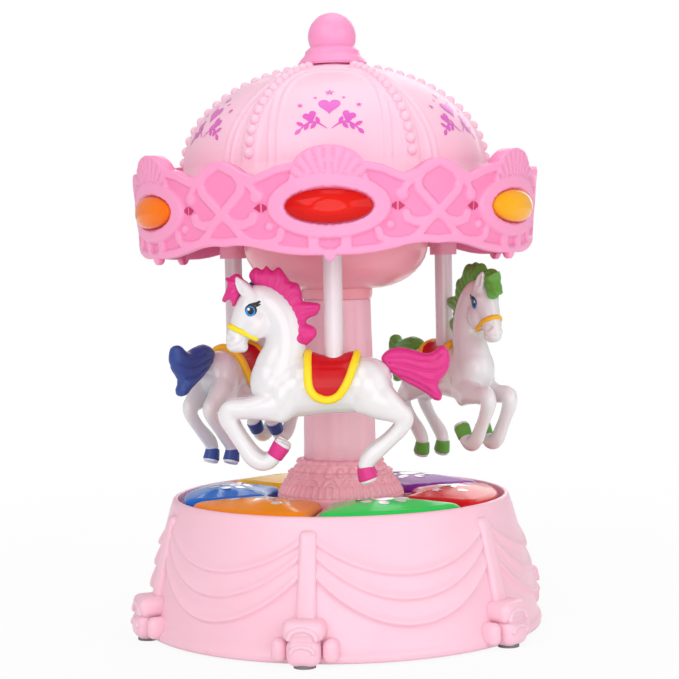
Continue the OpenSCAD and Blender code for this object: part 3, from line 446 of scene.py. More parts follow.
for name in ("bottom_plate", "battery_door"):
    finish_node(name, shell_pink)
rubber = clouded("rubber", (0.18, 0.17, 0.18), (0.26, 0.25, 0.26), 300, 4,
                 Roughness=0.8, Specular_IOR_Level=0.25)
rubber.bump(rubber.noise(900, 2), 0.3, 0.0003)
finish_node("foot_pads", rubber.material)
steel = clouded("steel", (0.50, 0.50, 0.52), (0.66, 0.66, 0.67), 260, 3, Metallic=1.0)
steel.set(Roughness=steel.noise(700, 3) * 0.2 + 0.2)
for name in ("base_screws", "battery_door_screw", "board_screws", "column_screws", "gearbox_screws",
             "idler_axles", "motor", "drive_shaft", "canopy_screws"):
    finish_node(name, steel.material)

# ---------------------------------------------------------------------------
# Inner works: board, cells, key domes, speaker, switch, motor and gears, all fixed inside the drum.
# They are plain moulded and stamped parts, screwed to the bottom plate and to the deck.
# ---------------------------------------------------------------------------
board_green = clouded("board_green", (0.02, 0.20, 0.08), (0.03, 0.28, 0.11), 500,
                      Roughness=0.35, Coat_Weight=0.4)
dark_plastic = clouded("dark_plastic", (0.02, 0.02, 0.022), (0.045, 0.045, 0.05), 90, 3)
dark_plastic.set(Roughness=dark_plastic.noise(500, 2) * 0.2 + 0.35)
gear_white = clouded("gear_white", (0.80, 0.79, 0.74), (0.86, 0.85, 0.81), 120,
                     Roughness=0.42, Subsurface_Weight=0.1, Subsurface_Scale=0.002)
box_grey = clouded("box_grey", (0.55, 0.55, 0.56), (0.62, 0.62, 0.63), 140, Roughness=0.5)
brass = clouded("brass", (0.58, 0.42, 0.16), (0.70, 0.53, 0.24), 300, 3, Roughness=0.3, Metallic=1.0)
soft_grey = clouded("soft_grey", (0.62, 0.62, 0.61), (0.70, 0.70, 0.69), 200,
                    Roughness=0.6, Subsurface_Weight=0.2, Subsurface_Scale=0.002)
clear_lens = clouded("clear_lens", (0.90, 0.90, 0.86), (0.95, 0.95, 0.92), 400, 1,
                     Roughness=0.08, Transmission_Weight=0.6, IOR=1.5)
jacket = clouded("jacket", (0.09, 0.10, 0.13), (0.14, 0.15, 0.19), 80, Roughness=0.3, Metallic=0.4)
for name, kind in (("circuit_board", board_green), ("board_leds", clear_lens), ("key_domes", soft_grey),
                   ("batteries", jacket), ("battery_contacts", steel), ("speaker", dark_plastic),
                   ("switch_body", dark_plastic), ("switch_knob", dark_plastic), ("gearbox_base", box_grey),
                   ("gearbox_cover", box_grey), ("motor_pinion", brass), ("idler_gear_1", gear_white),
                   ("idler_gear_2", gear_white), ("main_gear", gear_white), ("shaft_bushes", brass)):
    finish_node(name, kind.material)

# ---------------------------------------------------------------------------
# Deck and pads: six clear coloured press pads in a ring on the pink deck.
# Each pad is a domed moulding with rolled edges, and a white print of stars or discs lies on its top.
# ---------------------------------------------------------------------------
finish_node("pad_deck", moulded_pink("deck_pink", (0.92, 0.46, 0.57), (0.95, 0.51, 0.62)))
pad_out, pad_in, pad_slit, pad_corner = 78.0, 36.0, 2.0, 5.5
pad_middle, pad_low, pad_side, pad_shoulder, pad_crown = 56, 60.5, 62.0, 65.2, 2.9
roll, roll_high, roll_end = 6.0, 3.2, 79
film_lift = 0.07


def swung(x, y, angle, middle=(0.0, 0.0)):
    """A point of a plane, turned by an angle in radians and then moved to a middle."""
    s, k = math.sin(angle), math.cos(angle)
    return middle[0] + x * k - y * s, middle[1] + x * s + y * k


def pad_outline(inset, turn):
    """Points round a pad, moved in by a margin, as millimetre pairs in the drum's plan."""
    ro, ri, g = pad_out - inset, pad_in + inset, pad_slit + inset
    c = max(0.8, pad_corner - inset * 0.6)
    ao = 30 - math.degrees(math.asin((g + c) / (ro - c)))
    ai = 30 - math.degrees(math.asin((g + c) / (ri + c)))
    points = []

    def corner(r, a, first, last):
        x, y = r * math.sin(math.radians(a)), -r * math.cos(math.radians(a))
        for k in range(9):
            t = math.radians(first + (last - first) * k / 8)
            points.append((x + c * math.sin(t), y - c * math.cos(t)))

    def arc(r, first, last, n):
        for k in range(1, n):
            t = math.radians(first + (last - first) * k / n)
            points.append((r * math.sin(t), -r * math.cos(t)))

    corner(ro - c, -ao, -120, -ao)
    arc(ro, -ao, ao, 24)
    corner(ro - c, ao, ao, 120)
    corner(ri + c, ai, 120, 180 + ai)
    arc(ri, ai, -ai, 12)
    corner(ri + c, -ai, 180 - ai, 240)
    return [swung(x, y, math.radians(turn)) for x, y in points]


def pad_top(share):
    """Height of a pad's skin over the deck, from its rim (0) to its middle (1)."""
    return pad_shoulder + pad_crown * (1 - (1 - share) ** 1.6)


def shaded_clear(name, light, deep):
    """Clear dyed plastic with a hard gloss; its colour is painted deep at a pad's foot and light on its top,
    as painted shade and light.
    """
    surface = Finish(name, Roughness=0.16, IOR=1.2, Coat_Weight=0.05, Coat_Roughness=0.06, Coat_IOR=1.3)
    surface.set(Subsurface_Weight=0.25, Subsurface_Scale=0.006, Subsurface_Radius=(1.0, 0.8, 0.8))
    # Painted shade and light by height: the colour runs from deep at the pad's foot to light on its top, with
    # some random clouding mixed in.
    high = surface.rise(surface.along(2), 0.0625, 0.0662)
    surface.set(Base_Color=surface.mix(high * 0.7 + surface.noise(60, 2) * 0.3, deep, light))
    surface.bump(surface.noise(60, 1), 0.05, 0.001)
    return surface.material


printed = clouded("print_white", (0.80, 0.77, 0.81), (0.86, 0.84, 0.87), 220, Roughness=0.15, Coat_Weight=0.6)


def star_points(x, y, r, waist=0.45, tips=5):
    """Outline of a star, whose inner corners reach out by a share of r."""
    reach = [r if k % 2 == 0 else r * waist for k in range(2 * tips)]
    return [(x + reach[k] * math.sin(math.pi * k / tips), y + reach[k] * math.cos(math.pi * k / tips))
            for k in range(2 * tips)]


def disc_points(x, y, r, n=20):
    """Outline of a disc."""
    return [(x + r * math.sin(t), y + r * math.cos(t)) for t in circle(n)]


def thin_print(outlines, place, grain=1.2):
    """Flat shapes cut from a thin film and laid on a curved skin; every shape is filled with small faces."""
    film = bmesh.new()
    for outline in outlines:
        ring = [film.verts.new((x, y, 0)) for x, y in outline]
        area = sum(a[0] * b[1] - b[0] * a[1] for a, b in zip(outline, outline[1:] + outline[:1]))
        film.faces.new(ring if area > 0 else ring[::-1])
    bmesh.ops.triangulate(film, faces=film.faces[:])
    for _ in range(5):
        long = [e for e in film.edges if e.calc_length() > grain]
        if not long:
            break
        bmesh.ops.subdivide_edges(film, edges=long, cuts=1, use_grid_fill=False)
        bmesh.ops.triangulate(film, faces=film.faces[:])
    verts, faces = plain(film)
    return [place(v.x, v.y) for v in verts], faces


pad_colours = (("orange", (1.0, 0.35, 0.015), (0.95, 0.20, 0.0)),
               ("green", (0.05, 0.74, 0.14), (0.01, 0.55, 0.08)),
               ("red", (0.86, 0.03, 0.03), (0.60, 0.0, 0.01)),
               ("purple", (0.36, 0.06, 0.50), (0.20, 0.02, 0.33)),
               ("yellow", (1.0, 0.62, 0.02), (0.90, 0.42, 0.0)),
               ("blue", (0.03, 0.24, 0.78), (0.01, 0.11, 0.52)))
for number, (word, light, deep) in enumerate(pad_colours):
    turn = drum_turn - 30 + 60 * number
    node = "pad_%d_%s" % (number + 1, word)
    levels = [[(x, y, z) for x, y in pad_outline(inset, turn)]
              for inset, z in ((0.3, pad_low), (0.0, pad_low + 0.7), (0.0, pad_side))]
    for t in (10, 20, 30, 40, 50, 60, 70, roll_end):
        rim = pad_outline(roll * (1 - math.cos(math.radians(t))), turn)
        z = pad_side + roll_high * math.sin(math.radians(t)) / math.sin(math.radians(roll_end))
        levels.append([(x, y, z) for x, y in rim])
    mid = (pad_middle * math.sin(math.radians(turn)), -pad_middle * math.cos(math.radians(turn)))
    for share in (0.06, 0.14, 0.24, 0.36, 0.5, 0.65, 0.8, 0.92, 0.995):
        levels.append([(x + (mid[0] - x) * share, y + (mid[1] - y) * share, pad_top(share)) for x, y in rim])
    n = len(rim)
    verts = [(x / 1000, y / 1000, z / 1000) for level in levels for x, y, z in level]
    faces = ring_faces(len(levels), n)
    faces += [tuple(range((len(levels) - 1) * n, len(levels) * n)), tuple(range(n))[::-1]]
    new_piece("press_pad_%s" % word, verts, faces, shaded_clear("clear_%s" % word, light, deep),
              node, "pad_%s" % word, replaced=(node,))
    rim_dirs = [(math.atan2(y - mid[1], x - mid[0]), math.hypot(x - mid[0], y - mid[1])) for x, y in rim]

    def on_pad(x, y):
        """A print point on the pad: x across it, y out from its middle."""
        px, py = swung(x, -y, math.radians(turn), mid)
        a, d = math.atan2(py - mid[1], px - mid[0]), math.hypot(px - mid[0], py - mid[1])
        near = min(rim_dirs, key=lambda q: abs(math.atan2(math.sin(q[0] - a), math.cos(q[0] - a))))
        return (px / 1000, py / 1000, (pad_top(max(0.0, 1 - d / near[1])) + film_lift) / 1000)

    if number % 2:
        shapes = [disc_points(0, 0, 5.4)]
        shapes += [disc_points(10.5 * math.cos(t), 8.5 * math.sin(t), 2.7)
                   for t in np.linspace(0, 2 * math.pi, 8)[:-1]]
    else:
        shapes = [star_points(0, -1, 9.5), disc_points(-13, 6, 2.6), disc_points(13, 6, 2.6)]
        shapes += [star_points(-11, -7, 3.4), star_points(11, -7, 3.4)]
    verts, faces = thin_print(shapes, on_pad)
    new_piece("pad_print_%s" % word, verts, faces, printed.material, node, "deck_white")

# ---------------------------------------------------------------------------
# Pedestal, column and bell: three pink mouldings stacked on the deck, one standing in the next.
# The column is fluted and a little narrower at its top; the bell flares out under the canopy.
# ---------------------------------------------------------------------------
pedestal_z, pedestal_r = zip(
    (58.2, 31.3), (60.0, 31.4), (63.2, 31.4), (64.2, 31.2), (64.8, 30.4), (65.6, 30.1), (69.2, 28.0),
    (70.0, 27.2), (73.2, 25.2), (74.6, 24.8), (75.4, 24.5), (75.9, 23.6), (76.2, 21.6), (79.8, 21.0),
    (80.4, 20.9), (81.3, 20.2), (81.6, 19.2),
)
pedestal_inside = ((17.4, 81.5), (17.4, 75.2), (22.2, 71.2), (28.0, 62.2), (28.0, 58.2))
ribs, arches, pearls, scallops, carved_r = 54, 18, 24, 30, 27
column_low, column_high, column_long, column_r, column_taper = 58.2, 159.4, 101.8, 18.5, 2.0
flutes, flute_deep, bore_r = 12, 0.55, 14.0


def pedestal_relief(angle, z):
    """Carving round the pedestal: fine ribs, small arches with drops, a row of beads, a scalloped top."""
    def across(count, shift=0.0):
        return ((angle / 360 * count + shift) % 1 - 0.5) * 2 * math.pi * carved_r / count

    h = 0.0
    if 64.8 < z < 71.4:
        h = 0.9 * max(0.0, math.cos(math.radians(ribs * angle))) ** 0.6 * min(1, (71.4 - z) / 1.2)
    if 70.2 < z < 75.2:
        d = math.hypot(across(arches), (z - 70.4) * 1.1)
        h = max(h, 1.1 * math.exp(-((d - 3.4) / 0.7) ** 2), 1.3 * max(0.0, 1 - (d / 1.7) ** 2) ** 0.5)
    if 73.6 < z < 79.2:
        d = math.hypot(across(pearls, 0.5), z - 76.4)
        h = max(h, 1.7 * max(0.0, 1 - (d / 2.4) ** 2) ** 0.5)
    if z >= 79.8:
        h += 0.9 * abs(math.cos(math.radians(scallops / 2 * angle))) * (1 if z < 81.5 else 0)
    return h


fine_z = sorted(set(np.arange(64.4, 81.4, 0.3)) | set(pedestal_z))
columns = []
for i in range(648):
    a = drum_turn + (i + 0.5) / 648 * 360
    column = [around(float(np.interp(z, pedestal_z, pedestal_r)) + pedestal_relief(a, z), a, z)
              for z in fine_z]
    columns.append(column + [around(r, a, z) for r, z in pedestal_inside])
verts, faces = wrap(columns)
new_piece("pedestal_form", verts, faces,
          moulded_pink("pedestal_pink", (0.95, 0.45, 0.53), (0.97, 0.50, 0.58)), "base", "column_pink",
          replaced=("pedestal",))
columns = []
for i in range(288):
    a = drum_turn + i / 288 * 360
    flute = flute_deep * (0.5 + 0.5 * math.cos(math.radians(flutes * (a - drum_turn) + 180))) ** 1.6
    column = []
    for z in (76.0, 90.0, 120.0, 150.0, 155.4, 157.5, column_high):
        r = column_r - (z - column_low) / column_long * column_taper
        column.append(around(r - flute * min(1, (column_high - z) / 4 + 0.15), a, z))
    column += [around(16.3, a, 159.9), around(bore_r, a, 159.9), around(bore_r, a, 76.0)]
    columns.append(column)
verts, faces = wrap(columns)
new_piece("column_form", verts, faces, moulded_pink("column_pink", (0.97, 0.57, 0.67), (0.99, 0.62, 0.72)),
          "base", "column_pink", replaced=("column",))
finish_node("bell", moulded_pink("bell_pink", (0.97, 0.38, 0.46), (0.98, 0.43, 0.51), 0.24))

# ---------------------------------------------------------------------------
# Canopy floor: a deep pink disc with three sockets, which hold the white poles.
# It is screwed to the hub on the drive shaft and carries all that turns.
# ---------------------------------------------------------------------------
finish_node("canopy_floor", moulded_pink("floor_pink", (0.85, 0.14, 0.34), (0.89, 0.18, 0.39)))
finish_node("pole_sockets", moulded_pink("socket_pink", (0.94, 0.42, 0.56), (0.96, 0.47, 0.61)))
finish_node("canopy_hub", shell_pink)
pole_white = clouded("pole_white", (0.74, 0.66, 0.70), (0.79, 0.72, 0.76), 80,
                     Subsurface_Weight=0.15, Subsurface_Scale=0.003, Coat_Weight=0.3, Coat_Roughness=0.1)
pole_white.set(Roughness=pole_white.noise(500, 2) * 0.1 + 0.2)
finish_node("poles", pole_white.material)

# ---------------------------------------------------------------------------
# Crown: the scalloped skirt round the canopy, moulded with frames, shells, ribbons and scrolls in relief.
# It is one thin wall with six bosses, screwed to the canopy floor, and an oval hole for each gem.
# ---------------------------------------------------------------------------
canopy_turn = -1.6
crown_r, crown_lean, crown_low, crown_inside = 94.6, 0.085, 184.0, 92.0
gem_z, gem_a, gem_b = 202.5, 18.8, 7.6
frame_a, frame_b = 26.8, 14.3
panel_wide, arch_wide, drop_wide = 99.07, 17.2, 2.2
edge_high, ribbon_high, far_ribbon_high, frame_high, fan_high, tab_high = 1.35, 1.25, 1.1, 2.1, 1.6, 1.5
fan_low, fan_wide, fan_tall, fan_cut, fan_hub, fan_rays = 209.5, 16.6, 18.6, 213, 206.0, 14.5
tab_wide, slot_low, slot_wide, slot_tall, slot_top = 9.6, 186.4, 4.9, 2.6, 189.2


def field_r(z):
    """Radius of the crown's plain field at a height."""
    return crown_r + crown_lean * (z - crown_low)


def crown_top(v):
    """Height of the crown's upper edge, v degrees from a gem's middle, with an arch over the gem."""
    u = abs(v)
    top = float(np.interp(u, (0, 5, 10, 14, 17, 20, 23, 26, 28.5, 30),
                          (222.4, 222.2, 221.6, 220.2, 218.0, 216.2, 218.0, 221.4, 223.0, 223.3)))
    x = u * crown_r * math.pi / 180
    if x < arch_wide:
        top = max(top, 212.4 + 16.6 * math.sqrt(max(0, 1 - (x / arch_wide) ** 2)) ** 0.8)
    return top


def crown_bottom(v):
    """Height of the crown's lower edge, with a small drop under the gem."""
    u = abs(v)
    low = float(np.interp(u, (0, 7.4, 12, 16.7, 20.8, 24, 27, 30),
                          (180.9, 181.1, 181.9, 183.4, 185.1, 185.9, 186.0, 185.5)))
    x = u * crown_r * math.pi / 180
    if x < drop_wide:
        low = min(low, 180.2 - 2.0 * math.sqrt(1 - (x / drop_wide) ** 2))
    return low


ribbons = (
    (2.0, ((47.6, 221), (41.5, 217.8), (38.6, 213.5), (39.6, 209.5), (43.0, 206), (47.2, 202), (50.5, 198.5),
           (54.6, 195.9), (60, 195.0), (64.5, 196.6), (65.3, 198.8))),
    (1.7, ((49.5, 201), (45.5, 196.2), (41, 191.0), (36.4, 187.6), (31, 186.6), (25.6, 186.9), (22.2, 188.6),
           (21.2, 191.8))),
    (1.5, ((36.5, 213.6), (33.6, 211.0), (32.2, 208.2))),
)
balls = ((26.6, 194.0, 2.2, 1.5), (32.0, 207.4, 3.3, 1.3), (21.3, 192.4, 1.6, 1.2))


def path_distance(x, z, path):
    """Distance of each point from a path of straight stretches."""
    best = np.full(x.shape, 1e9)
    for (x0, z0), (x1, z1) in zip(path, path[1:]):
        dx, dz = x1 - x0, z1 - z0
        t = np.clip(((x - x0) * dx + (z - z0) * dz) / (dx * dx + dz * dz), 0, 1)
        best = np.minimum(best, np.hypot(x - x0 - t * dx, z - z0 - t * dz))
    return best


def stroke(x, z, path, half):
    """A rounded strip of a given half width along a path; 1 in its middle and 0 outside it."""
    return np.clip((half + 0.35 - path_distance(x, z, path)) / 0.7, 0, 1)


def step(d, width=0.7):
    """A soft step from 0 to 1 where d passes zero."""
    t = np.clip(d / width + 0.5, 0, 1)
    return t * t * (3 - 2 * t)


def relief(x, z, top, low):
    """Height of the crown's carving over its field, in millimetres; x is measured from a gem's middle."""
    ax = np.abs(x)
    h = np.zeros(x.shape)
    h = np.maximum(h, edge_high * step(3.7 - (top - z)))
    h = np.maximum(h, edge_high * step(3.6 - (z - low)))
    for half, path in ribbons:
        for mirror in (False, True):
            px = panel_wide - ax if mirror else ax
            h = np.maximum(h, (far_ribbon_high if mirror else ribbon_high) * stroke(px, z, path, half) ** 0.6)
    for bx, bz, r, high in balls:
        d = np.hypot(ax - bx, z - bz) / r
        h = np.maximum(h, high * np.sqrt(np.clip(1 - d * d, 0, 1)))
    frame_d = 1 - np.sqrt((x / frame_a) ** 2 + ((z - gem_z) / frame_b) ** 2)
    h = np.maximum(h, frame_high * step(frame_d * frame_b, 0.9))
    above = np.clip(z - fan_low, 0, None)
    fan = (np.sqrt((x / fan_wide) ** 2 + (above / fan_tall) ** 2) < 1.05) & (z > fan_cut)
    grooves = np.abs(np.cos(np.arctan2(x, z - fan_hub) * fan_rays))
    shell = np.maximum(fan_high - 0.55 * (grooves < 0.16) + 0.25 * grooves, 0)
    h = np.where(fan & (frame_d < 0), shell, h)
    tab = (ax < tab_wide) & (z < gem_z - frame_b + 3)
    below = np.clip(slot_low - z, 0, None)
    hollow = ((x / slot_wide) ** 2 + (below / slot_tall) ** 2 < 1) & (z < slot_top)
    h = np.where(tab & (frame_d < 0), np.where(hollow, 0.0, tab_high), h)
    rim = 1 - np.sqrt((x / (gem_a + 0.6)) ** 2 + ((z - gem_z) / (gem_b + 0.6)) ** 2)
    return np.where(rim > 0, 1.2 - 1.2 * step(rim * 8, 1.0), h)


across, up = 168, 74
columns = []
for side in range(6):
    v = (np.arange(across) + 0.5) / across * 60 - 30
    top = np.array([crown_top(q) for q in v])
    low = np.array([crown_bottom(q) for q in v])
    t = np.linspace(0, 1, up)[None, :]
    z = low[:, None] + (top - low)[:, None] * t
    x = np.repeat((v * crown_r * math.pi / 180)[:, None], up, 1)
    h = relief(x, z, top[:, None], low[:, None])
    edge = np.minimum(z - low[:, None], top[:, None] - z)
    r = field_r(z) + h - 0.45 * np.clip(1 - edge / 0.8, 0, 1) ** 2
    for i in range(across):
        a = canopy_turn + side * 60 + v[i]
        column = [around(r[i, j], a, z[i, j]) for j in range(up)]
        column += [around(crown_inside + 0.9, a, top[i] + 0.1), around(crown_inside, a, top[i] - 0.6)]
        column += [around(crown_inside, a, low[i] + (top[i] - low[i]) * q) for q in (0.75, 0.5, 0.25)]
        column += [around(crown_inside, a, low[i] + 0.6), around(crown_inside + 0.9, a, low[i] - 0.05)]
        columns.append(column)
verts, faces = wrap(columns)


def relief_shaded_pink(name, raised, field):
    """The crown's plastic, one colour with painted shade: the field is painted a shade deeper than the
    carving on it, and the inside of the skirt deep pink.
    """
    surface = Finish(name, Coat_Weight=0.12, Coat_Roughness=0.2)
    surface.set(Subsurface_Weight=0.1, Subsurface_Scale=0.003)
    reach = surface.off_axis()
    # Painted light and shade on the relief: the further the skin stands out from the field, the lighter its
    # pink, with some random clouding.
    proud = reach - (surface.along(2) - crown_low / 1000) * crown_lean - crown_r / 1000
    ramp = surface.rise(proud, 0.0001, 0.0010)
    # Painted shade: the inside of the skirt is painted deep pink, standing for the shade under the canopy.
    inside = reach < 0.0930
    cloud = surface.noise(30, 3)
    relief_shade = surface.mix(ramp * 0.8 + cloud * 0.2, field, raised)
    surface.set(Base_Color=surface.mix(inside, relief_shade, (0.82, 0.12, 0.33)),
                Roughness=surface.noise(420, 2) * 0.12 + 0.32)
    surface.bump(surface.noise(150, 2), 0.05, 0.0006)
    return surface.material


# The skirt's pink is painted lighter on its carving and a shade deeper in its field, as painted shade of the
# relief.
new_piece("canopy_skirt", verts, faces,
          relief_shaded_pink("skirt_pink", (0.95, 0.335, 0.575), (0.92, 0.235, 0.475)), "carousel", "pink_shell",
          replaced=("canopy_crown",))
# Painted shade: small dark red wedges are laid on the skirt beside the tips of each frame, standing for the
# shade in its notches.
studs = [[], []]
stud_faces = ((3, 4, 5), (0, 1, 4, 3), (1, 2, 5, 4), (2, 0, 3, 5))
for side in range(6):
    for s in (-1, 1):
        for centre, pointing in ((32.0, -1), (28.0, 1)):
            point, base = centre - pointing * 1.5, centre + pointing * 1.5
            corners = [(x, z, depth) for depth in (0.1, 0.35)
                       for x, z in ((point, 202.2), (base, 204.2), (base, 200.2))]
            middle = canopy_turn + side * 60
            put_in(studs, corners, stud_faces,
                   lambda v: around(field_r(v[1]) + v[2], middle + s * math.degrees(v[0] / crown_r), v[1]))
notch_shade = clouded("notch_painted_shade", (0.50, 0.01, 0.09), (0.60, 0.02, 0.13), 200, Roughness=0.3)
new_piece("skirt_notch_shade", studs[0], studs[1], notch_shade.material, "carousel", "deep_pink", smooth=False)

# ---------------------------------------------------------------------------
# Gems: six oval stones of clear dyed plastic, pressed into the frames of the crown.
# The red pair is cut with a flat face and a ridge, the yellow and orange pairs are plain domes.
# ---------------------------------------------------------------------------
gem_gap, gem_back, gem_lift, gem_edge, gem_dome = 0.15, 0.5, 0.7, 1.2, 3.9
cut_rise, cut_face, cut_tilt, cut_ridge = 6.2, 4.7, 0.10, -2.0


def gem_skin(first, cut):
    """A pair of stones facing each other across the crown: rings of points from the rim to the middle."""
    verts, faces, n = [], [], 72
    turns = circle(n)
    half_wide, half_high = gem_a - gem_gap, gem_b - gem_gap
    for side in (first, first + 3):
        middle = canopy_turn + side * 60
        rows = [[around(field_r(gem_z) - gem_back, middle + math.degrees(half_wide * math.cos(t) / crown_r),
                        gem_z + half_high * math.sin(t)) for t in turns]]
        for share in (0.0, 0.02, 0.06, 0.12, 0.2, 0.3, 0.42, 0.55, 0.68, 0.8, 0.9, 0.97):
            row = []
            for t in turns:
                x, z = half_wide * (1 - share) * math.cos(t), half_high * (1 - share) * math.sin(t)
                h = gem_edge + gem_dome * (1 - (1 - share) ** 2) ** 0.5
                if cut:
                    face = cut_face - cut_tilt * max(0.0, z - cut_ridge)
                    h = min(gem_edge + cut_rise * share, face, h + 0.2)
                angle = middle + math.degrees(x / crown_r)
                row.append(around(field_r(gem_z) + h + gem_lift, angle, gem_z + z))
            rows.append(row)
        start = len(verts)
        for row in rows:
            verts.extend(row)
        faces += ring_faces(len(rows), n, start)
        end = start + len(rows) * n
        faces += [tuple(range(end - n, end)), tuple(range(start, start + n))[::-1]]
    return verts, faces


def stone(name, light, deep):
    """Clear dyed plastic for the stones, with painted light: lighter where a stone stands proud, and deeper
    towards its rim as painted shade.
    """
    surface = Finish(name, Roughness=0.12, IOR=1.22, Coat_Weight=0.25, Coat_Roughness=0.04, Coat_IOR=1.35,
                     Subsurface_Weight=0.15, Subsurface_Scale=0.004)
    # Painted light and shade: each stone is painted light on its crown and deep at its rim, by how far out
    # its skin stands, with some random clouding.
    proud = surface.rise(surface.off_axis(), (field_r(gem_z) + 1.5) / 1000, (field_r(gem_z) + 5.6) / 1000)
    surface.set(Base_Color=surface.mix(proud * 0.75 + surface.noise(90, 2) * 0.25, deep, light))
    surface.bump(surface.noise(40, 1), 0.04, 0.001)
    return surface.material


for first, word, cut, light, deep in ((0, "red", True, (0.80, 0.012, 0.006), (0.55, 0.0, 0.0)),
                                      (1, "yellow", False, (0.96, 0.46, 0.01), (0.90, 0.30, 0.0)),
                                      (2, "orange", False, (0.95, 0.21, 0.008), (0.88, 0.13, 0.0))):
    verts, faces = gem_skin(first, cut)
    new_piece("%s_stones" % word, verts, faces, stone("%s_stone" % word, light, deep),
              "carousel", "%s_clear" % word, replaced=("%s_gems" % word,))

# ---------------------------------------------------------------------------
# Dome: a pale pink shell over the crown, with an arched panel between each pair of ribs.
# Each rib carries a string of beads; every panel is printed with hearts, stars and a leafy sprig.
# ---------------------------------------------------------------------------
dome_r, dome_foot, dome_rise = 73.5, 224.0, 49.5
rib_half, rib_high, arch_lines = 4.7, 0.8, ((28.0, 66.0, 0.8), (24.0, 61.5, 0.6))
ring_low, ring_top, dome_top = 71, 76.0, 76.6
bead_first, bead_step, bead_end, bead_r, print_lift = 4.0, 5.5, 74.0, 0.0026, 0.16


def dome_point(t, out):
    """Radius and height of the dome t degrees up its curve, and that far out from its skin."""
    t = math.radians(t)
    return (dome_r + out) * math.cos(t), dome_foot + (dome_rise + out) * math.sin(t)


def climb(t):
    """Length in millimetres from the dome's foot up to t degrees."""
    return np.interp(t, climb_steps, climb_lengths)


climb_steps = np.linspace(-6, 90, 193)
dome_curve = [(dome_r * math.cos(math.radians(t)), dome_rise * math.sin(math.radians(t)))
              for t in climb_steps]
stretches = [math.dist(a, b) for a, b in zip(dome_curve, dome_curve[1:])]
climb_lengths = np.concatenate([[0], np.cumsum(stretches)])
climb_lengths -= np.interp(0, climb_steps, climb_lengths)


def dome_carving(v, t):
    """Ribs and double arch lines on a panel, in millimetres above the shell."""
    r = dome_r * math.cos(math.radians(t))
    x, s = abs(v) * math.pi / 180 * r, float(climb(t))
    rib = (30 - abs(v)) * math.pi / 180 * r
    out = rib_high * max(0.0, min(1.0, (rib_half - rib) / 0.8))
    for w, top, high in arch_lines:
        k = ((x / w) ** 2.4 + (max(0.0, s - 2) / top) ** 2.4) ** (1 / 2.4)
        out = max(out, high * math.exp(-((k - 1) * w / 0.8) ** 2))
    ring = max(0.0, min(1.0, (t - ring_low) / 0.6)) * max(0.0, min(1.0, (ring_top - t) / 0.6))
    return max(out, rib_high * ring)


columns = []
dome_brim = ((91.4, 213.6), (91.4, 215.4), (84.0, 216.6), (76.4, 218.0), (75.0, 220.6))
dome_cap = ((16.6, 272.9), (14.5, 273.9), (6.2, 274.0), (6.2, 272.2))
dome_inside = ((16, 270.6), (46, 258), (66, 236), (71.0, 222), (71.2, 213.6))
for i in range(540):
    v = (i % 90 + 0.5) / 90 * 60 - 30
    a = canopy_turn + (i + 0.5) / 540 * 360 - 30
    skin = [dome_point(t, dome_carving(v, t)) for t in np.linspace(0, dome_top, 118)]
    columns.append([around(r, a, z) for r, z in (*dome_brim, *skin, *dome_cap, *dome_inside)])
verts, faces = wrap(columns)
dome_pink = moulded_pink("dome_pink", (0.94, 0.54, 0.675), (0.97, 0.59, 0.725), 0.42)
new_piece("canopy_shell", verts, faces, dome_pink, "carousel", "pale_pink", replaced=("canopy_dome",))

spots = []
for side in range(6):
    s = bead_first
    while s < climb(bead_end):
        t = float(np.interp(s, climb_lengths, climb_steps))
        r, z = dome_point(t, 0.5)
        spots.append(around(r, canopy_turn + 30 + side * 60, z))
        s += bead_step
bead_mesh = bpy.data.meshes.new("bead_spots")
bead_mesh.from_pydata(spots, [], [])
beads = bpy.data.objects.new("rib_beads", bead_mesh)
scene.collection.objects.link(beads)


def node_tree(name, inputs):
    """An empty Geometry Nodes tree with a Geometry input, the named inputs and a Geometry output."""
    tree = bpy.data.node_groups.new(name, "GeometryNodeTree")
    tree.interface.new_socket("Geometry", in_out="INPUT", socket_type="NodeSocketGeometry")
    for word, kind in inputs:
        tree.interface.new_socket(word, in_out="INPUT", socket_type=kind)
    tree.interface.new_socket("Geometry", in_out="OUTPUT", socket_type="NodeSocketGeometry")
    return tree, tree.nodes.new("NodeGroupInput"), tree.nodes.new("NodeGroupOutput")


def worked(thing):
    """A plain mesh of an object with its modifiers worked in."""
    return bpy.data.meshes.new_from_object(thing.evaluated_get(bpy.context.evaluated_depsgraph_get()))


def grow(thing, tree, values):
    """Runs a tree on an object with its inputs set, and leaves the result as the object's plain mesh."""
    worker = thing.modifiers.new("grow", "NODES")
    worker.node_group = tree
    for item in tree.interface.items_tree:
        if item.in_out == "INPUT" and item.name in values:
            worker[item.identifier] = values[item.name]
    bpy.context.view_layer.update()
    made = worked(thing)
    thing.modifiers.remove(worker)
    thing.data = made
    made.polygons.foreach_set("use_smooth", [True] * len(made.polygons))
    return thing


bead_inputs = (("Bead radius", "NodeSocketFloat"), ("Material", "NodeSocketMaterial"))
tree, taken, given = node_tree("bead_string", bead_inputs)
ball = tree.nodes.new("GeometryNodeMeshIcoSphere")
ball.inputs["Subdivisions"].default_value = 3
strew = tree.nodes.new("GeometryNodeInstanceOnPoints")
real = tree.nodes.new("GeometryNodeRealizeInstances")
dress = tree.nodes.new("GeometryNodeSetMaterial")
join(tree, (
    (taken.outputs["Bead radius"], ball.inputs["Radius"]),
    (taken.outputs["Geometry"], strew.inputs["Points"]),
    (ball.outputs["Mesh"], strew.inputs["Instance"]),
    (strew.outputs["Instances"], real.inputs["Geometry"]),
    (real.outputs["Geometry"], dress.inputs["Geometry"]),
    (taken.outputs["Material"], dress.inputs["Material"]),
    (dress.outputs["Geometry"], given.inputs["Geometry"]),
))
grow(beads, tree, {"Bead radius": bead_r, "Material": dome_pink})
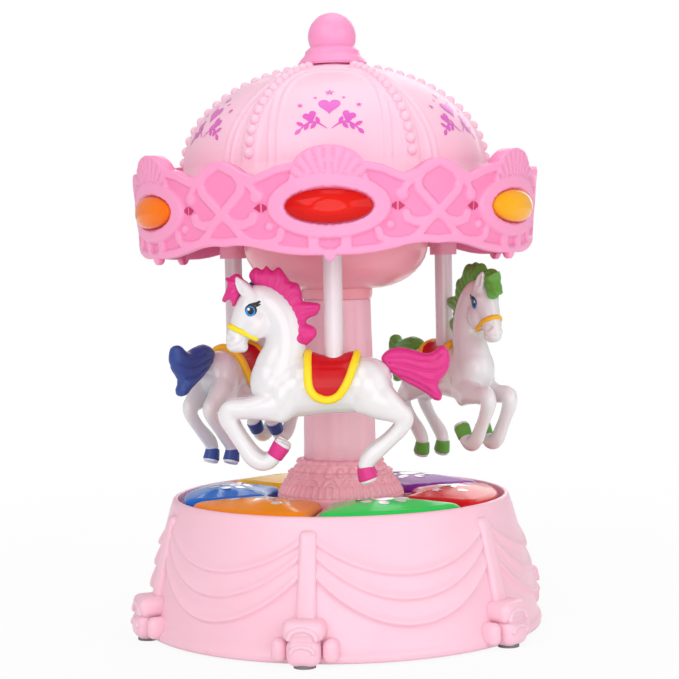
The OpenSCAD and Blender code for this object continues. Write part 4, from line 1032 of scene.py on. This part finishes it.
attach(beads, "carousel")

magenta = clouded("print_magenta", (0.78, 0.10, 0.50), (0.70, 0.10, 0.56), 140,
                  Roughness=0.3, Coat_Weight=0.3)


def heart_points(x, y, r, turn=0.0, n=26):
    """Outline of a heart that reaches out by r to each side."""
    out, unit = [], 0.062 * r
    for t in circle(n):
        px = unit * 16 * math.sin(t) ** 3
        py = unit * (13 * math.cos(t) - 5 * math.cos(2 * t) - 2 * math.cos(3 * t) - math.cos(4 * t) + 2)
        out.append(swung(px, py, turn, (x, y)))
    return out[::-1]


def leaf_points(x, y, length, width, turn):
    """Outline of a leaf that starts at a point and is turned by an angle in radians."""
    side = [(length * k / 8, width * math.sin(math.pi * k / 8) ** 0.8) for k in range(9)]
    ring = side + [(p, -q) for p, q in side[-2:0:-1]]
    return [swung(p, q, turn, (x, y)) for p, q in ring]


def vine(points, width):
    """Outline of a thin tapering stem through points."""
    left, right = [], []
    for i, (x, y) in enumerate(points):
        ax, ay = points[max(0, i - 1)]
        bx, by = points[min(len(points) - 1, i + 1)]
        d = math.hypot(bx - ax, by - ay)
        w = width * (0.25 + 0.75 * math.sin(math.pi * (i + 0.5) / len(points)))
        left.append((x - (by - ay) / d * w, y + (bx - ax) / d * w))
        right.append((x + (by - ay) / d * w, y - (bx - ax) / d * w))
    return left + right[::-1]


def stem_point(s, q):
    """A point on the motif's left (-1) or right (1) stem, a share q of the way along."""
    return s * (1.0 + 14.0 * q), 14.5 + 5.0 * math.sin(q * 3.0) - 3.0 * q


motif = [heart_points(0, 27.0, 5.2), heart_points(-8.6, 21.0, 3.3, 0.45), heart_points(8.6, 21.0, 3.3, -0.45),
         star_points(0, 37.0, 2.6, 0.42), star_points(-13.5, 28.0, 1.7, 0.42),
         star_points(13.5, 28.0, 1.7, 0.42), star_points(-6.5, 33.0, 1.2, 0.42),
         star_points(6.5, 33.0, 1.2, 0.42)]
for s in (-1, 1):
    motif.append(vine([stem_point(s, q) for q in np.linspace(0, 1, 16)], 0.55))
    for q, side_turn in ((0.25, 1.2), (0.5, 0.9), (0.75, 0.5), (0.35, -0.9), (0.6, -1.1), (0.85, -0.8)):
        motif.append(leaf_points(*stem_point(s, q), 4.2, 1.0, side_turn if s > 0 else math.pi - side_turn))
printing = [[], []]
for side in range(6):
    def on_dome(x, y):
        """A print point on a panel: x across it, y up from its foot."""
        t = float(np.interp(y, climb_lengths, climb_steps))
        r, z = dome_point(t, print_lift)
        return around(r, canopy_turn + side * 60 + math.degrees(x / (dome_r * math.cos(math.radians(t)))), z)

    verts, faces = thin_print(motif, on_dome)
    put_in(printing, verts, faces, tuple)
new_piece("dome_print", printing[0], printing[1], magenta.material, "carousel", "pale_pink")
finish_node("finial", moulded_pink("finial_pink", (0.93, 0.30, 0.555), (0.95, 0.345, 0.60)))

# ---------------------------------------------------------------------------
# Horses: three glossy white horses in mid gallop, moulded in one piece and pushed on their poles.
# Mane, tail and hooves are softer coloured vinyl; each saddle is red with a raised piped edge.
# ---------------------------------------------------------------------------
pole_ring, leg_apart, body_middle = 62.0, 6.2, 121.8
torso = ((-22.4, 0, 119.4, 5.4, 6.0), (-21.2, 0, 120.2, 9.0, 7.6), (-17, 0, 122.0, 12.0, 9.4),
         (-9, 0, 122, 13, 10.5), (3, 0, 121.6, 13, 10.6), (14, 0, 121.6, 14.0, 10.6),
         (22, 0, 121.0, 13.6, 10.2), (28, 0, 120.6, 11.4, 9.2))
neck = ((26, 0, 119, 11, 8.8), (25, 0, 129, 12.0, 8.6), (22.4, 0, 139, 9.8, 7.4), (22.4, 0, 148, 9.0, 6.6),
        (25.8, 0, 156, 8.6, 6.0), (31, 0, 161.6, 7.2, 5.6), (36.0, 0, 164.0, 4.8, 4.6))
head = ((33.6, 0, 164.4, 4, 4.2), (35.4, 0, 161.6, 6.8, 5.8), (37.9, 0, 157.2, 7.5, 6.3),
        (40.8, 0, 151.6, 6.5, 5.5), (43.2, 0, 146.8, 5.5, 4.8), (44.8, 0, 142.8, 5.0, 4.7),
        (45.6, 0, 140.2, 4.1, 4.0))
fore_leg = ((25, -1, 114, 9.2, 4.6), (33, 0, 112.8, 6.4, 4.7), (41, 0, 112, 4.9, 4.2),
            (47.4, 0, 111.6, 4.8, 4.0), (49.2, 0, 108.0, 4.1, 3.7), (46.0, 0, 101.6, 3.5, 3.1),
            (42.2, 0, 95.6, 3.5, 3.0), (38.8, 0, 90.6, 3.9, 3.3), (35.0, 0, 87.6, 3.9, 3.4),
            (31.0, 0, 87.4, 3.6, 3.3), (28.2, 0, 89.6, 3.5, 3.3))
hind_leg = ((-15, -1, 118, 10.4, 5.2), (-22, 0, 113.4, 8.2, 5.2), (-28, 0, 109.6, 5.6, 4.1),
            (-31.8, 0, 106.4, 4.2, 3.5), (-29.8, 0, 101.8, 3.5, 3.1), (-24.0, 0, 96.0, 3.3, 3.0),
            (-18.4, 0, 91.4, 3.8, 3.3), (-14.6, 0, 87.6, 3.7, 3.3), (-13.2, 0, 84.6, 3.5, 3.2))


def at_pole(number, v):
    """A horse's own millimetres (ahead, towards the outside, up) turned into the toy's metres."""
    angle = math.radians(canopy_turn + number * 120)
    return (*swung(-v[0] / 1000, (-v[1] - pole_ring) / 1000, angle), v[2] / 1000)


def egg(middle, radii, lean=0.0):
    """An ellipsoid, leaned forward by some degrees."""
    shape = bmesh.new()
    bmesh.ops.create_icosphere(shape, subdivisions=4, radius=1.0)
    turn = Matrix.Rotation(math.radians(lean), 3, "Y")
    verts, faces = plain(shape)
    return [Vector(middle) + turn @ Vector((v.x * radii[0], v.y * radii[1], v.z * radii[2]))
            for v in verts], faces


def fused(shapes, grain, rounds, pull=0.5):
    """One skin round shapes that overlap, with its joins worked smooth."""
    store = [[], []]
    for verts, faces in shapes:
        put_in(store, verts, faces, tuple)
    mesh = bpy.data.meshes.new("lump")
    mesh.from_pydata([tuple(v) for v in store[0]], [], store[1])
    lump = bpy.data.objects.new("lump", mesh)
    scene.collection.objects.link(lump)
    skin = lump.modifiers.new("skin", "REMESH")
    skin.mode = "VOXEL"
    skin.voxel_size = grain
    rub = lump.modifiers.new("rub", "SMOOTH")
    rub.factor = pull
    rub.iterations = rounds
    done = worked(lump)
    points = np.empty(len(done.vertices) * 3)
    done.vertices.foreach_get("co", points)
    faces = [tuple(p.vertices) for p in done.polygons]
    bpy.data.objects.remove(lump)
    return points.reshape(-1, 3), faces


def on_side(stations, s):
    """A leg's stations on one side of the body: 1 for the outside, -1 for the inside."""
    return [(p[0], s * (leg_apart + p[1]), p[2], p[3], p[4]) for p in stations]


shapes = [limb(torso), limb(neck), limb(head)]
shapes += [egg((44.9, 0, 142.4), (4.4, 5.0, 4.8)), egg((42.4, 0, 140.0), (3.2, 3.6, 2.8)),
           egg((28.4, 0, 122.6), (10.4, 9.4, 13.4), 8)]
for s in (-1, 1):
    shapes += [limb(on_side(fore_leg, s)), limb(on_side(hind_leg, s))]
    shapes += [egg((34.9, s * 2.9, 150.2), (6.6, 4.0, 6.8), -24),
               egg((-15.8, s * 4.2, 120.4), (9.9, 6.8, 13.2), 14),
               egg((24, s * 4.0, 117.8), (8.4, 6.6, 11.6), 12),
               egg((39.8, s * 4.6, 159.2), (3.0, 1.9, 1.9), 34)]
    shapes.append(limb([(37.4, s * 3.4, 163.4, 3.1, 2.6), (40.2, s * 4.2, 166.4, 3.2, 2.5),
                        (42.5, s * 4.7, 169.6, 2.2, 1.8), (43.9, s * 4.8, 172.2, 0.7, 0.7)]))
coat, coat_faces = fused(shapes, 0.55, 16)
# Creases in the coat: mouth, nostril, ear, shoulder, flank and cheek, each a path, a depth and a width.
for path, depth, width in (
    (((49.4, 141.0), (46.2, 140.4), (43.4, 141.4), (41.6, 143.0)), 0.6, 0.5),
    (((47.4, 144.8), (46.6, 144.2)), 1.2, 0.8),
    (((41.4, 165.8), (42.9, 169.6)), 1.2, 0.9),
    (((16.4, 133.0), (17.4, 124), (21.0, 115.0), (26.0, 108.6)), 0.45, 2.0),
    (((-6.0, 128.0), (-7.6, 120), (-9.6, 113.6), (-14, 107)), 0.4, 2.0),
    (((30.2, 153.0), (31.6, 147.4), (35.0, 144.4), (38.6, 144.6)), 0.4, 1.3),
):
    crease = depth * np.exp(-(path_distance(coat[:, 0], coat[:, 2], path) / width) ** 2)
    coat[:, 1] -= np.sign(coat[:, 1]) * crease * (np.abs(coat[:, 1]) > 1.4)
coat_tree = BVHTree.FromPolygons([Vector(v) for v in coat], coat_faces)
coat_white = clouded("coat_white", (0.74, 0.72, 0.735), (0.79, 0.77, 0.785), 34, 3,
                     Subsurface_Weight=0.2, Subsurface_Scale=0.004, Coat_Weight=0.5, Coat_Roughness=0.08)
coat_white.set(Roughness=coat_white.noise(380, 3) * 0.1 + 0.18)
coat_white.bump(coat_white.noise(130, 2), 0.05, 0.0006)


def vinyl(name, colour, deep):
    """Soft dyed vinyl: a satin skin with a faint clouding of its colour."""
    surface = clouded(name, colour, deep, 70, 3, IOR=1.34, Subsurface_Weight=0.1, Subsurface_Scale=0.003,
                      Coat_Weight=0.06, Coat_Roughness=0.2)
    surface.set(Roughness=surface.noise(300, 3) * 0.16 + 0.26)
    surface.bump(surface.noise(240, 3), 0.08, 0.0005)
    return surface.material


def met(start, way, otherwise):
    """Where a ray first meets the coat, or another point if it misses."""
    hit = coat_tree.ray_cast(start, way)[0]
    return otherwise if hit is None else hit


def coat_at(x, z, s, lift):
    """A point that far off the coat, met from the outside (1) or the inside (-1)."""
    there = met(Vector((x, s * 40.0, z)), Vector((0, -s, 0)), Vector((x, s * 5.0, z)))
    return there + Vector((0, s * lift, 0))


def coat_round(x, phi):
    """Where the coat is at x, phi round the body from straight up, and which way that is."""
    middle, way = Vector((x, 0, body_middle)), Vector((0, math.sin(phi), math.cos(phi)))
    return met(middle + way * 40, -way, middle + way * 10), way


def rounded(points, per=4):
    """A closed outline drawn smoothly through points."""
    fine = curve_through([points[-1]] + list(points) + list(points[:2]), per)
    return [tuple(p) for p in fine[per:-2 * per]]


def filled_out(outline, thickness, rolled, grooves, depth, over_coat=False):
    """A moulding with that outline in the side view: full in its middle, rolled at its edge, grooved."""
    flat, faces = thin_print([outline], lambda x, z: (x, z), 0.9)
    flat = np.array(flat)
    edge = path_distance(flat[:, 0], flat[:, 1], outline + outline[:1])
    full = np.full(len(flat), thickness)
    if over_coat:
        for i, (x, z) in enumerate(flat):
            hit = coat_tree.ray_cast(Vector((x, 40.0, z)), Vector((0, -1, 0)))[0]
            if hit is not None:
                full[i] = max(thickness, hit.y + 1.1)
        links = [[] for _ in flat]
        for face in faces:
            for a, b in zip(face, face[1:] + face[:1]):
                links[a].append(b)
        for _ in range(8):
            full = np.array([(full[i] + sum(full[k] for k in near)) / (1 + len(near))
                             for i, near in enumerate(links)])
    half = full * np.sqrt(np.clip(1 - (1 - np.clip(edge / rolled, 0, 1)) ** 2, 0, 1))
    for path in grooves:
        groove = np.exp(-(path_distance(flat[:, 0], flat[:, 1], path) / 0.62) ** 2)
        half -= depth * groove * np.clip(edge / 1.5, 0, 1)
    half = np.maximum(half, 0.0)
    n = len(flat)
    border = set(np.flatnonzero(edge < 1e-4).tolist())
    faces = [f for f in faces if not border.issuperset(f)]
    verts = [(x, h, z) for (x, z), h in zip(flat, half)] + [(x, -h, z) for (x, z), h in zip(flat, half)]
    other = [i if i in border else i + n for i in range(n)]
    faces = [tuple(f) for f in faces] + [tuple(other[i] for i in reversed(f)) for f in faces]
    return verts, turned_out(verts, faces)


crest = rounded(((37.2, 169.4), (33.6, 167.8), (29.4, 166.0), (23.8, 161.8), (19.4, 155.4), (17.6, 148.6),
                 (18.6, 141.8), (14.4, 139.6), (10.8, 141.4), (7.8, 145.0), (8.6, 148.4), (12.4, 150.4),
                 (11.4, 152.4), (7.4, 154.2), (5.8, 158.7), (9.8, 160.0), (13.6, 160.6), (14.2, 164.4),
                 (16.0, 168.7), (19.2, 169.4), (20.8, 171.6), (24.4, 176.2), (27.6, 174.6), (30.2, 177.0),
                 (32.2, 175.2), (35.0, 176.4), (37.4, 174.8), (38.4, 172.2)))
strands = [((36.6, 169.6), (36.2, 175.8)), ((34.0, 168.8), (33.2, 175.6)), ((30.8, 167.4), (29.6, 176.2)),
           ((28.0, 166.0), (26.4, 172.0), (24.8, 175.8)), ((25.6, 164.4), (22.6, 169.4), (20.8, 171.8)),
           ((23.6, 162.4), (19.8, 167.0), (17.0, 168.4)), ((21.8, 159.8), (18.0, 163.4), (14.4, 164.4)),
           ((20.4, 157.0), (15.6, 159.8), (10.4, 160.0)), ((19.6, 154.2), (14.0, 157.2), (7.2, 157.6)),
           ((18.6, 151.0), (13.6, 153.8), (9.0, 155.2)), ((18.0, 148.0), (13.6, 149.8), (9.8, 148.2)),
           ((17.8, 145.0), (13.0, 146.2), (9.0, 145.6)), ((18.0, 142.4), (14.2, 142.8), (11.6, 142.6))]
mane_parts = [filled_out(crest, 3.6, 3.4, strands, 0.55, True)]
lock = rounded(((40.2, 168.8), (41.8, 172.6), (44.4, 173.6), (47.2, 171.6), (49.4, 171.8), (48.4, 168.6),
                (49.4, 165.4), (51.0, 161.6), (49.6, 160.4), (47.6, 161.8), (46.4, 158.8), (44.6, 158.8),
                (43.4, 161.8), (41.4, 165.2)))
mane_parts.append(filled_out(lock, 4.6, 3.6,
                             [((42.4, 169.8), (45.0, 170.8), (48.8, 171.4)),
                              ((43.2, 167.6), (46.8, 167.0), (50.2, 161.2)),
                              ((43.0, 165.4), (45.4, 163.6), (46.9, 160.0))], 0.8))
mane, mane_faces = fused(mane_parts, 0.42, 3, 0.45)
brush = rounded(((-21.4, 133.4), (-24.0, 137.0), (-29.2, 138.5), (-36.0, 137.4), (-41.4, 135.6),
                 (-45.2, 136.4), (-48.8, 139.0), (-51.8, 137.6), (-53.0, 132.2), (-51.6, 127.0),
                 (-48.4, 122.8), (-47.6, 120.2), (-49.0, 117.0), (-48.2, 114.0), (-45.2, 114.2),
                 (-42.0, 116.8), (-37.4, 119.6), (-32.2, 122.4), (-27.6, 125.6), (-23.4, 129.2)))
tail_grooves = [((-25, 134.4), (-32, 134.8), (-39, 132.8), (-45, 132.6), (-49.6, 135.8)),
                ((-25, 131.4), (-33, 130.4), (-41, 128.0), (-47, 127.6), (-51.4, 129.6)),
                ((-27, 128.8), (-35, 126.4), (-41.6, 123.2), (-46.4, 122.4)),
                ((-31, 125.2), (-38, 121.8), (-43.4, 118.4), (-47.2, 116.0))]
tail, tail_faces = filled_out(brush, 4.6, 4.8, tail_grooves, 0.9)
tail_root, tail_sway, tail_wave = -21, 1.3, 9.0
tail = [(x, y + tail_sway * math.sin((x - tail_root) / tail_wave), z) for x, y, z in tail]
hoof_cuts, sole_cuts = [], []
for s in (-1, 1):
    y = s * leg_apart
    hoof_cuts.append(limb([(28.0, y, 89.8, 3.7, 3.5), (26.6, y, 92.0, 4.0, 3.8), (24.6, y, 95.0, 4.3, 4.0)],
                          24, 4, 0.1))
    sole_cuts.append(limb([(24.6, y, 95.0, 3.9, 3.7), (23.9, y, 96.1, 3.8, 3.6)], 24, 3, 0.1))
    hoof_cuts.append(limb([(-13.1, y, 84.4, 3.7, 3.5), (-13.6, y, 82.2, 4.0, 3.8),
                           (-14.6, y, 79.0, 4.6, 4.1)], 24, 4, 0.1))
    sole_cuts.append(limb([(-14.5, y, 79.2, 4.1, 3.7), (-15.0, y, 77.8, 4.0, 3.6)], 24, 3, 0.1))
hoof, sole = fused(hoof_cuts, 0.4, 3), fused(sole_cuts, 0.4, 2)

trim_side = ((11.9, 134.6), (11.9, 129.6), (11.5, 122.6), (9.6, 118.8), (6.4, 116.9), (3.0, 116.3),
             (-0.6, 117.2), (-3.6, 119.8), (-6.5, 124.5), (-8.8, 130.0), (-10.4, 134.6))


def saddle_low(x):
    """Height of the saddle's lower edge at x."""
    side = sorted(trim_side)
    return float(np.interp(x, [p[0] for p in side], [p[1] for p in side]))


def reach_down(x, z):
    """The angle from straight up at which the coat is at height z."""
    low, high = 0.0, 2.2
    for _ in range(26):
        half = (low + high) / 2
        low, high = (half, high) if coat_round(x, half)[0].z > z else (low, half)
    return low


# The saddle is a grid laid on the coat, raised at its front and back, with a pressed line above its skirt.
saddle_back, saddle_long, rows, per_row = -10.2, 21.9, 41, 61
saddle_lift, saddle_sunk, line_z = 1.0, 0.5, 129.6
saddle_humps = ((1.3, -8.5, 3.6), (1.0, 9.8, 2.8))
upper, lower = [], []
for i in range(rows):
    x = saddle_back + i * saddle_long / (rows - 1)
    edge = reach_down(x, saddle_low(x))
    for j in range(per_row):
        hit, way = coat_round(x, edge * (2 * j / (per_row - 1) - 1))
        line = 0.35 * math.exp(-((hit.z - line_z) / 0.5) ** 2) if abs(hit.y) > 5 else 0.0
        seat = sum(high * math.exp(-((x - at) / long) ** 2) for high, at, long in saddle_humps)
        raised = seat if hit.z > 132 else seat * max(0.0, (hit.z - 126) / 6)
        upper.append(hit + way * (saddle_lift - line + raised))
        lower.append(hit - way * saddle_sunk)
m, k = per_row, len(upper)
faces = [(i * m + j, (i + 1) * m + j, (i + 1) * m + j + 1, i * m + j + 1) for i in range(rows - 1)
         for j in range(m - 1)]
faces += [tuple(k + q for q in f[::-1]) for f in faces]
border = [*range(m), *(i * m + m - 1 for i in range(1, rows)), *range(rows * m - 2, (rows - 1) * m - 1, -1),
          *(i * m for i in range(rows - 2, 0, -1))]
faces += [(a, b, b + k, a + k) for a, b in zip(border, border[1:] + border[:1])]
saddle = upper + lower
saddle_faces = turned_out(saddle, faces)
trim_lift, trim_r, over_back = 1.15, 1.95, np.linspace(1, -1, 12)[1:-1]
loop = []
for s in (1, -1):
    down = [(x, reach_down(x, z) * s) for x, z in curve_through(trim_side, 6)]
    x, z = trim_side[-1] if s > 0 else trim_side[0]
    over = reach_down(x, z)
    for x, phi in (down if s > 0 else down[::-1]) + [(x, over * q * s) for q in over_back]:
        hit, way = coat_round(x, phi)
        loop.append(hit + way * trim_lift)


def piping(path, r, n=12):
    """A closed tube round a closed path on the coat, seen from the middle of the body."""
    verts, count = [], len(path)
    for i, p in enumerate(path):
        ahead = (path[(i + 1) % count] - path[i - 1]).normalized()
        out = Vector((0, p.y, p.z - body_middle)).normalized()
        across = ahead.cross(out).normalized()
        out = across.cross(ahead).normalized()
        verts += hoop(p, across, r, out, r, n)
    return verts, turned_out(verts, ring_faces(count, n, closed=True))


trim, trim_faces = piping(loop, trim_r)
nose_middle, nose_slope = Vector((42.2, 0, 147.2)), Vector((12.2, 0, 6.0)).normalized()
strap_along, strap_half, strap_thick = Vector((0.44, 0, -0.9)).normalized(), 1.25, 0.6
strap_points, strap_lift = 48, 0.2
band = []
for phi in circle(strap_points):
    way = nose_slope * math.cos(phi) + Vector((0, math.sin(phi), 0))
    band.append(met(nose_middle, way, nose_middle + way * 5) + way * strap_lift)
band_verts, n = [], 10
for i, p in enumerate(band):
    ahead = (band[(i + 1) % len(band)] - band[i - 1]).normalized()
    out = strap_along.cross(ahead).normalized()
    band_verts += hoop(p, strap_along, strap_half, out, strap_thick, n)
band_faces = turned_out(band_verts, ring_faces(len(band), n, closed=True))


def oval_points(x, z, a, b, lean=0.0, n=28):
    """Outline of an ellipse, leaned by some degrees."""
    return [swung(a * math.cos(t), b * math.sin(t), math.radians(lean), (x, z)) for t in circle(n)]


eye_prints = (
    ("eye_black", (0.012, 0.010, 0.014), 0.07,
     [oval_points(37.3, 156.9, 2.75, 2.7, 8),
      vine([(38.4, 159.2), (36.2, 159.5), (34.4, 159.9), (32.9, 160.9)], 0.8),
      vine([(35.8, 158.2), (34.2, 158.9), (32.9, 159.5)], 0.45)]),
    ("eye_blue", (0.02, 0.24, 0.60), 0.12, [oval_points(37.6, 156.3, 2.25, 2.35, 8)]),
    ("eye_pupil", (0.010, 0.008, 0.012), 0.17, [oval_points(37.4, 156.5, 1.45, 1.65, 8)]),
    ("eye_glint", (0.90, 0.90, 0.90), 0.22, [oval_points(38.3, 157.3, 0.55, 0.6)]),
)
for name, colour, lift, outlines in eye_prints:
    store = [[], []]
    for s in (-1, 1):
        def on_cheek(x, z):
            return coat_at(x, z, s, lift)

        verts, faces = thin_print(outlines, on_cheek, 0.8)
        if s > 0:
            faces = [f[::-1] for f in faces]
        for number in range(3):
            put_in(store, verts, faces, lambda v: at_pole(number, v))
    paler = tuple(min(1, c * 1.15 + 0.004) for c in colour)
    ink = clouded(name, colour, paler, 600, Roughness=0.4, Coat_Weight=0.1, Specular_IOR_Level=0.3)
    new_piece(name + "s", store[0], store[1], ink.material, "carousel", "white_plastic")

red_saddle = vinyl("saddle_red", (0.62, 0.004, 0.008), (0.52, 0.003, 0.006))
hair = ((1, "magenta", (0.78, 0.045, 0.28), (0.62, 0.025, 0.20), (1.0, 0.76, 0.02)),
        (2, "green", (0.16, 0.42, 0.07), (0.10, 0.33, 0.04), (0.98, 0.52, 0.02)),
        (3, "navy", (0.05, 0.09, 0.34), (0.03, 0.06, 0.26), (0.98, 0.52, 0.02)))
for number, word, colour, deep, piped in hair:
    dyed = vinyl("vinyl_" + word, colour, deep)
    yellow = vinyl("piping_%d" % number, piped, tuple(c * 0.9 for c in piped))
    for part, points, faces, material, slot, replaced in (
        ("body", coat, coat_faces, coat_white.material, "white_plastic", ("horse_%d_body" % number,)),
        ("mane", mane, mane_faces, dyed, word + "_vinyl", ("horse_%d_mane" % number,)),
        ("tail", tail, tail_faces, dyed, word + "_vinyl", ("horse_%d_tail" % number,)),
        ("hooves", hoof[0], hoof[1], dyed, word + "_vinyl", ()),
        ("soles", sole[0], sole[1], coat_white.material, "white_plastic", ()),
        ("saddle", saddle, saddle_faces, red_saddle, "saddle_red", ("horse_%d_saddle" % number,)),
        ("saddle_piping", trim, trim_faces, yellow, "pad_yellow", ()),
        ("noseband", band_verts, band_faces, yellow, "pad_yellow", ()),
    ):
        new_piece("horse_%d_%s_form" % (number, part) if replaced else "horse_%d_%s" % (number, part),
                  [at_pole(number - 1, v) for v in points], faces, material, "carousel", slot,
                  replaced=replaced)
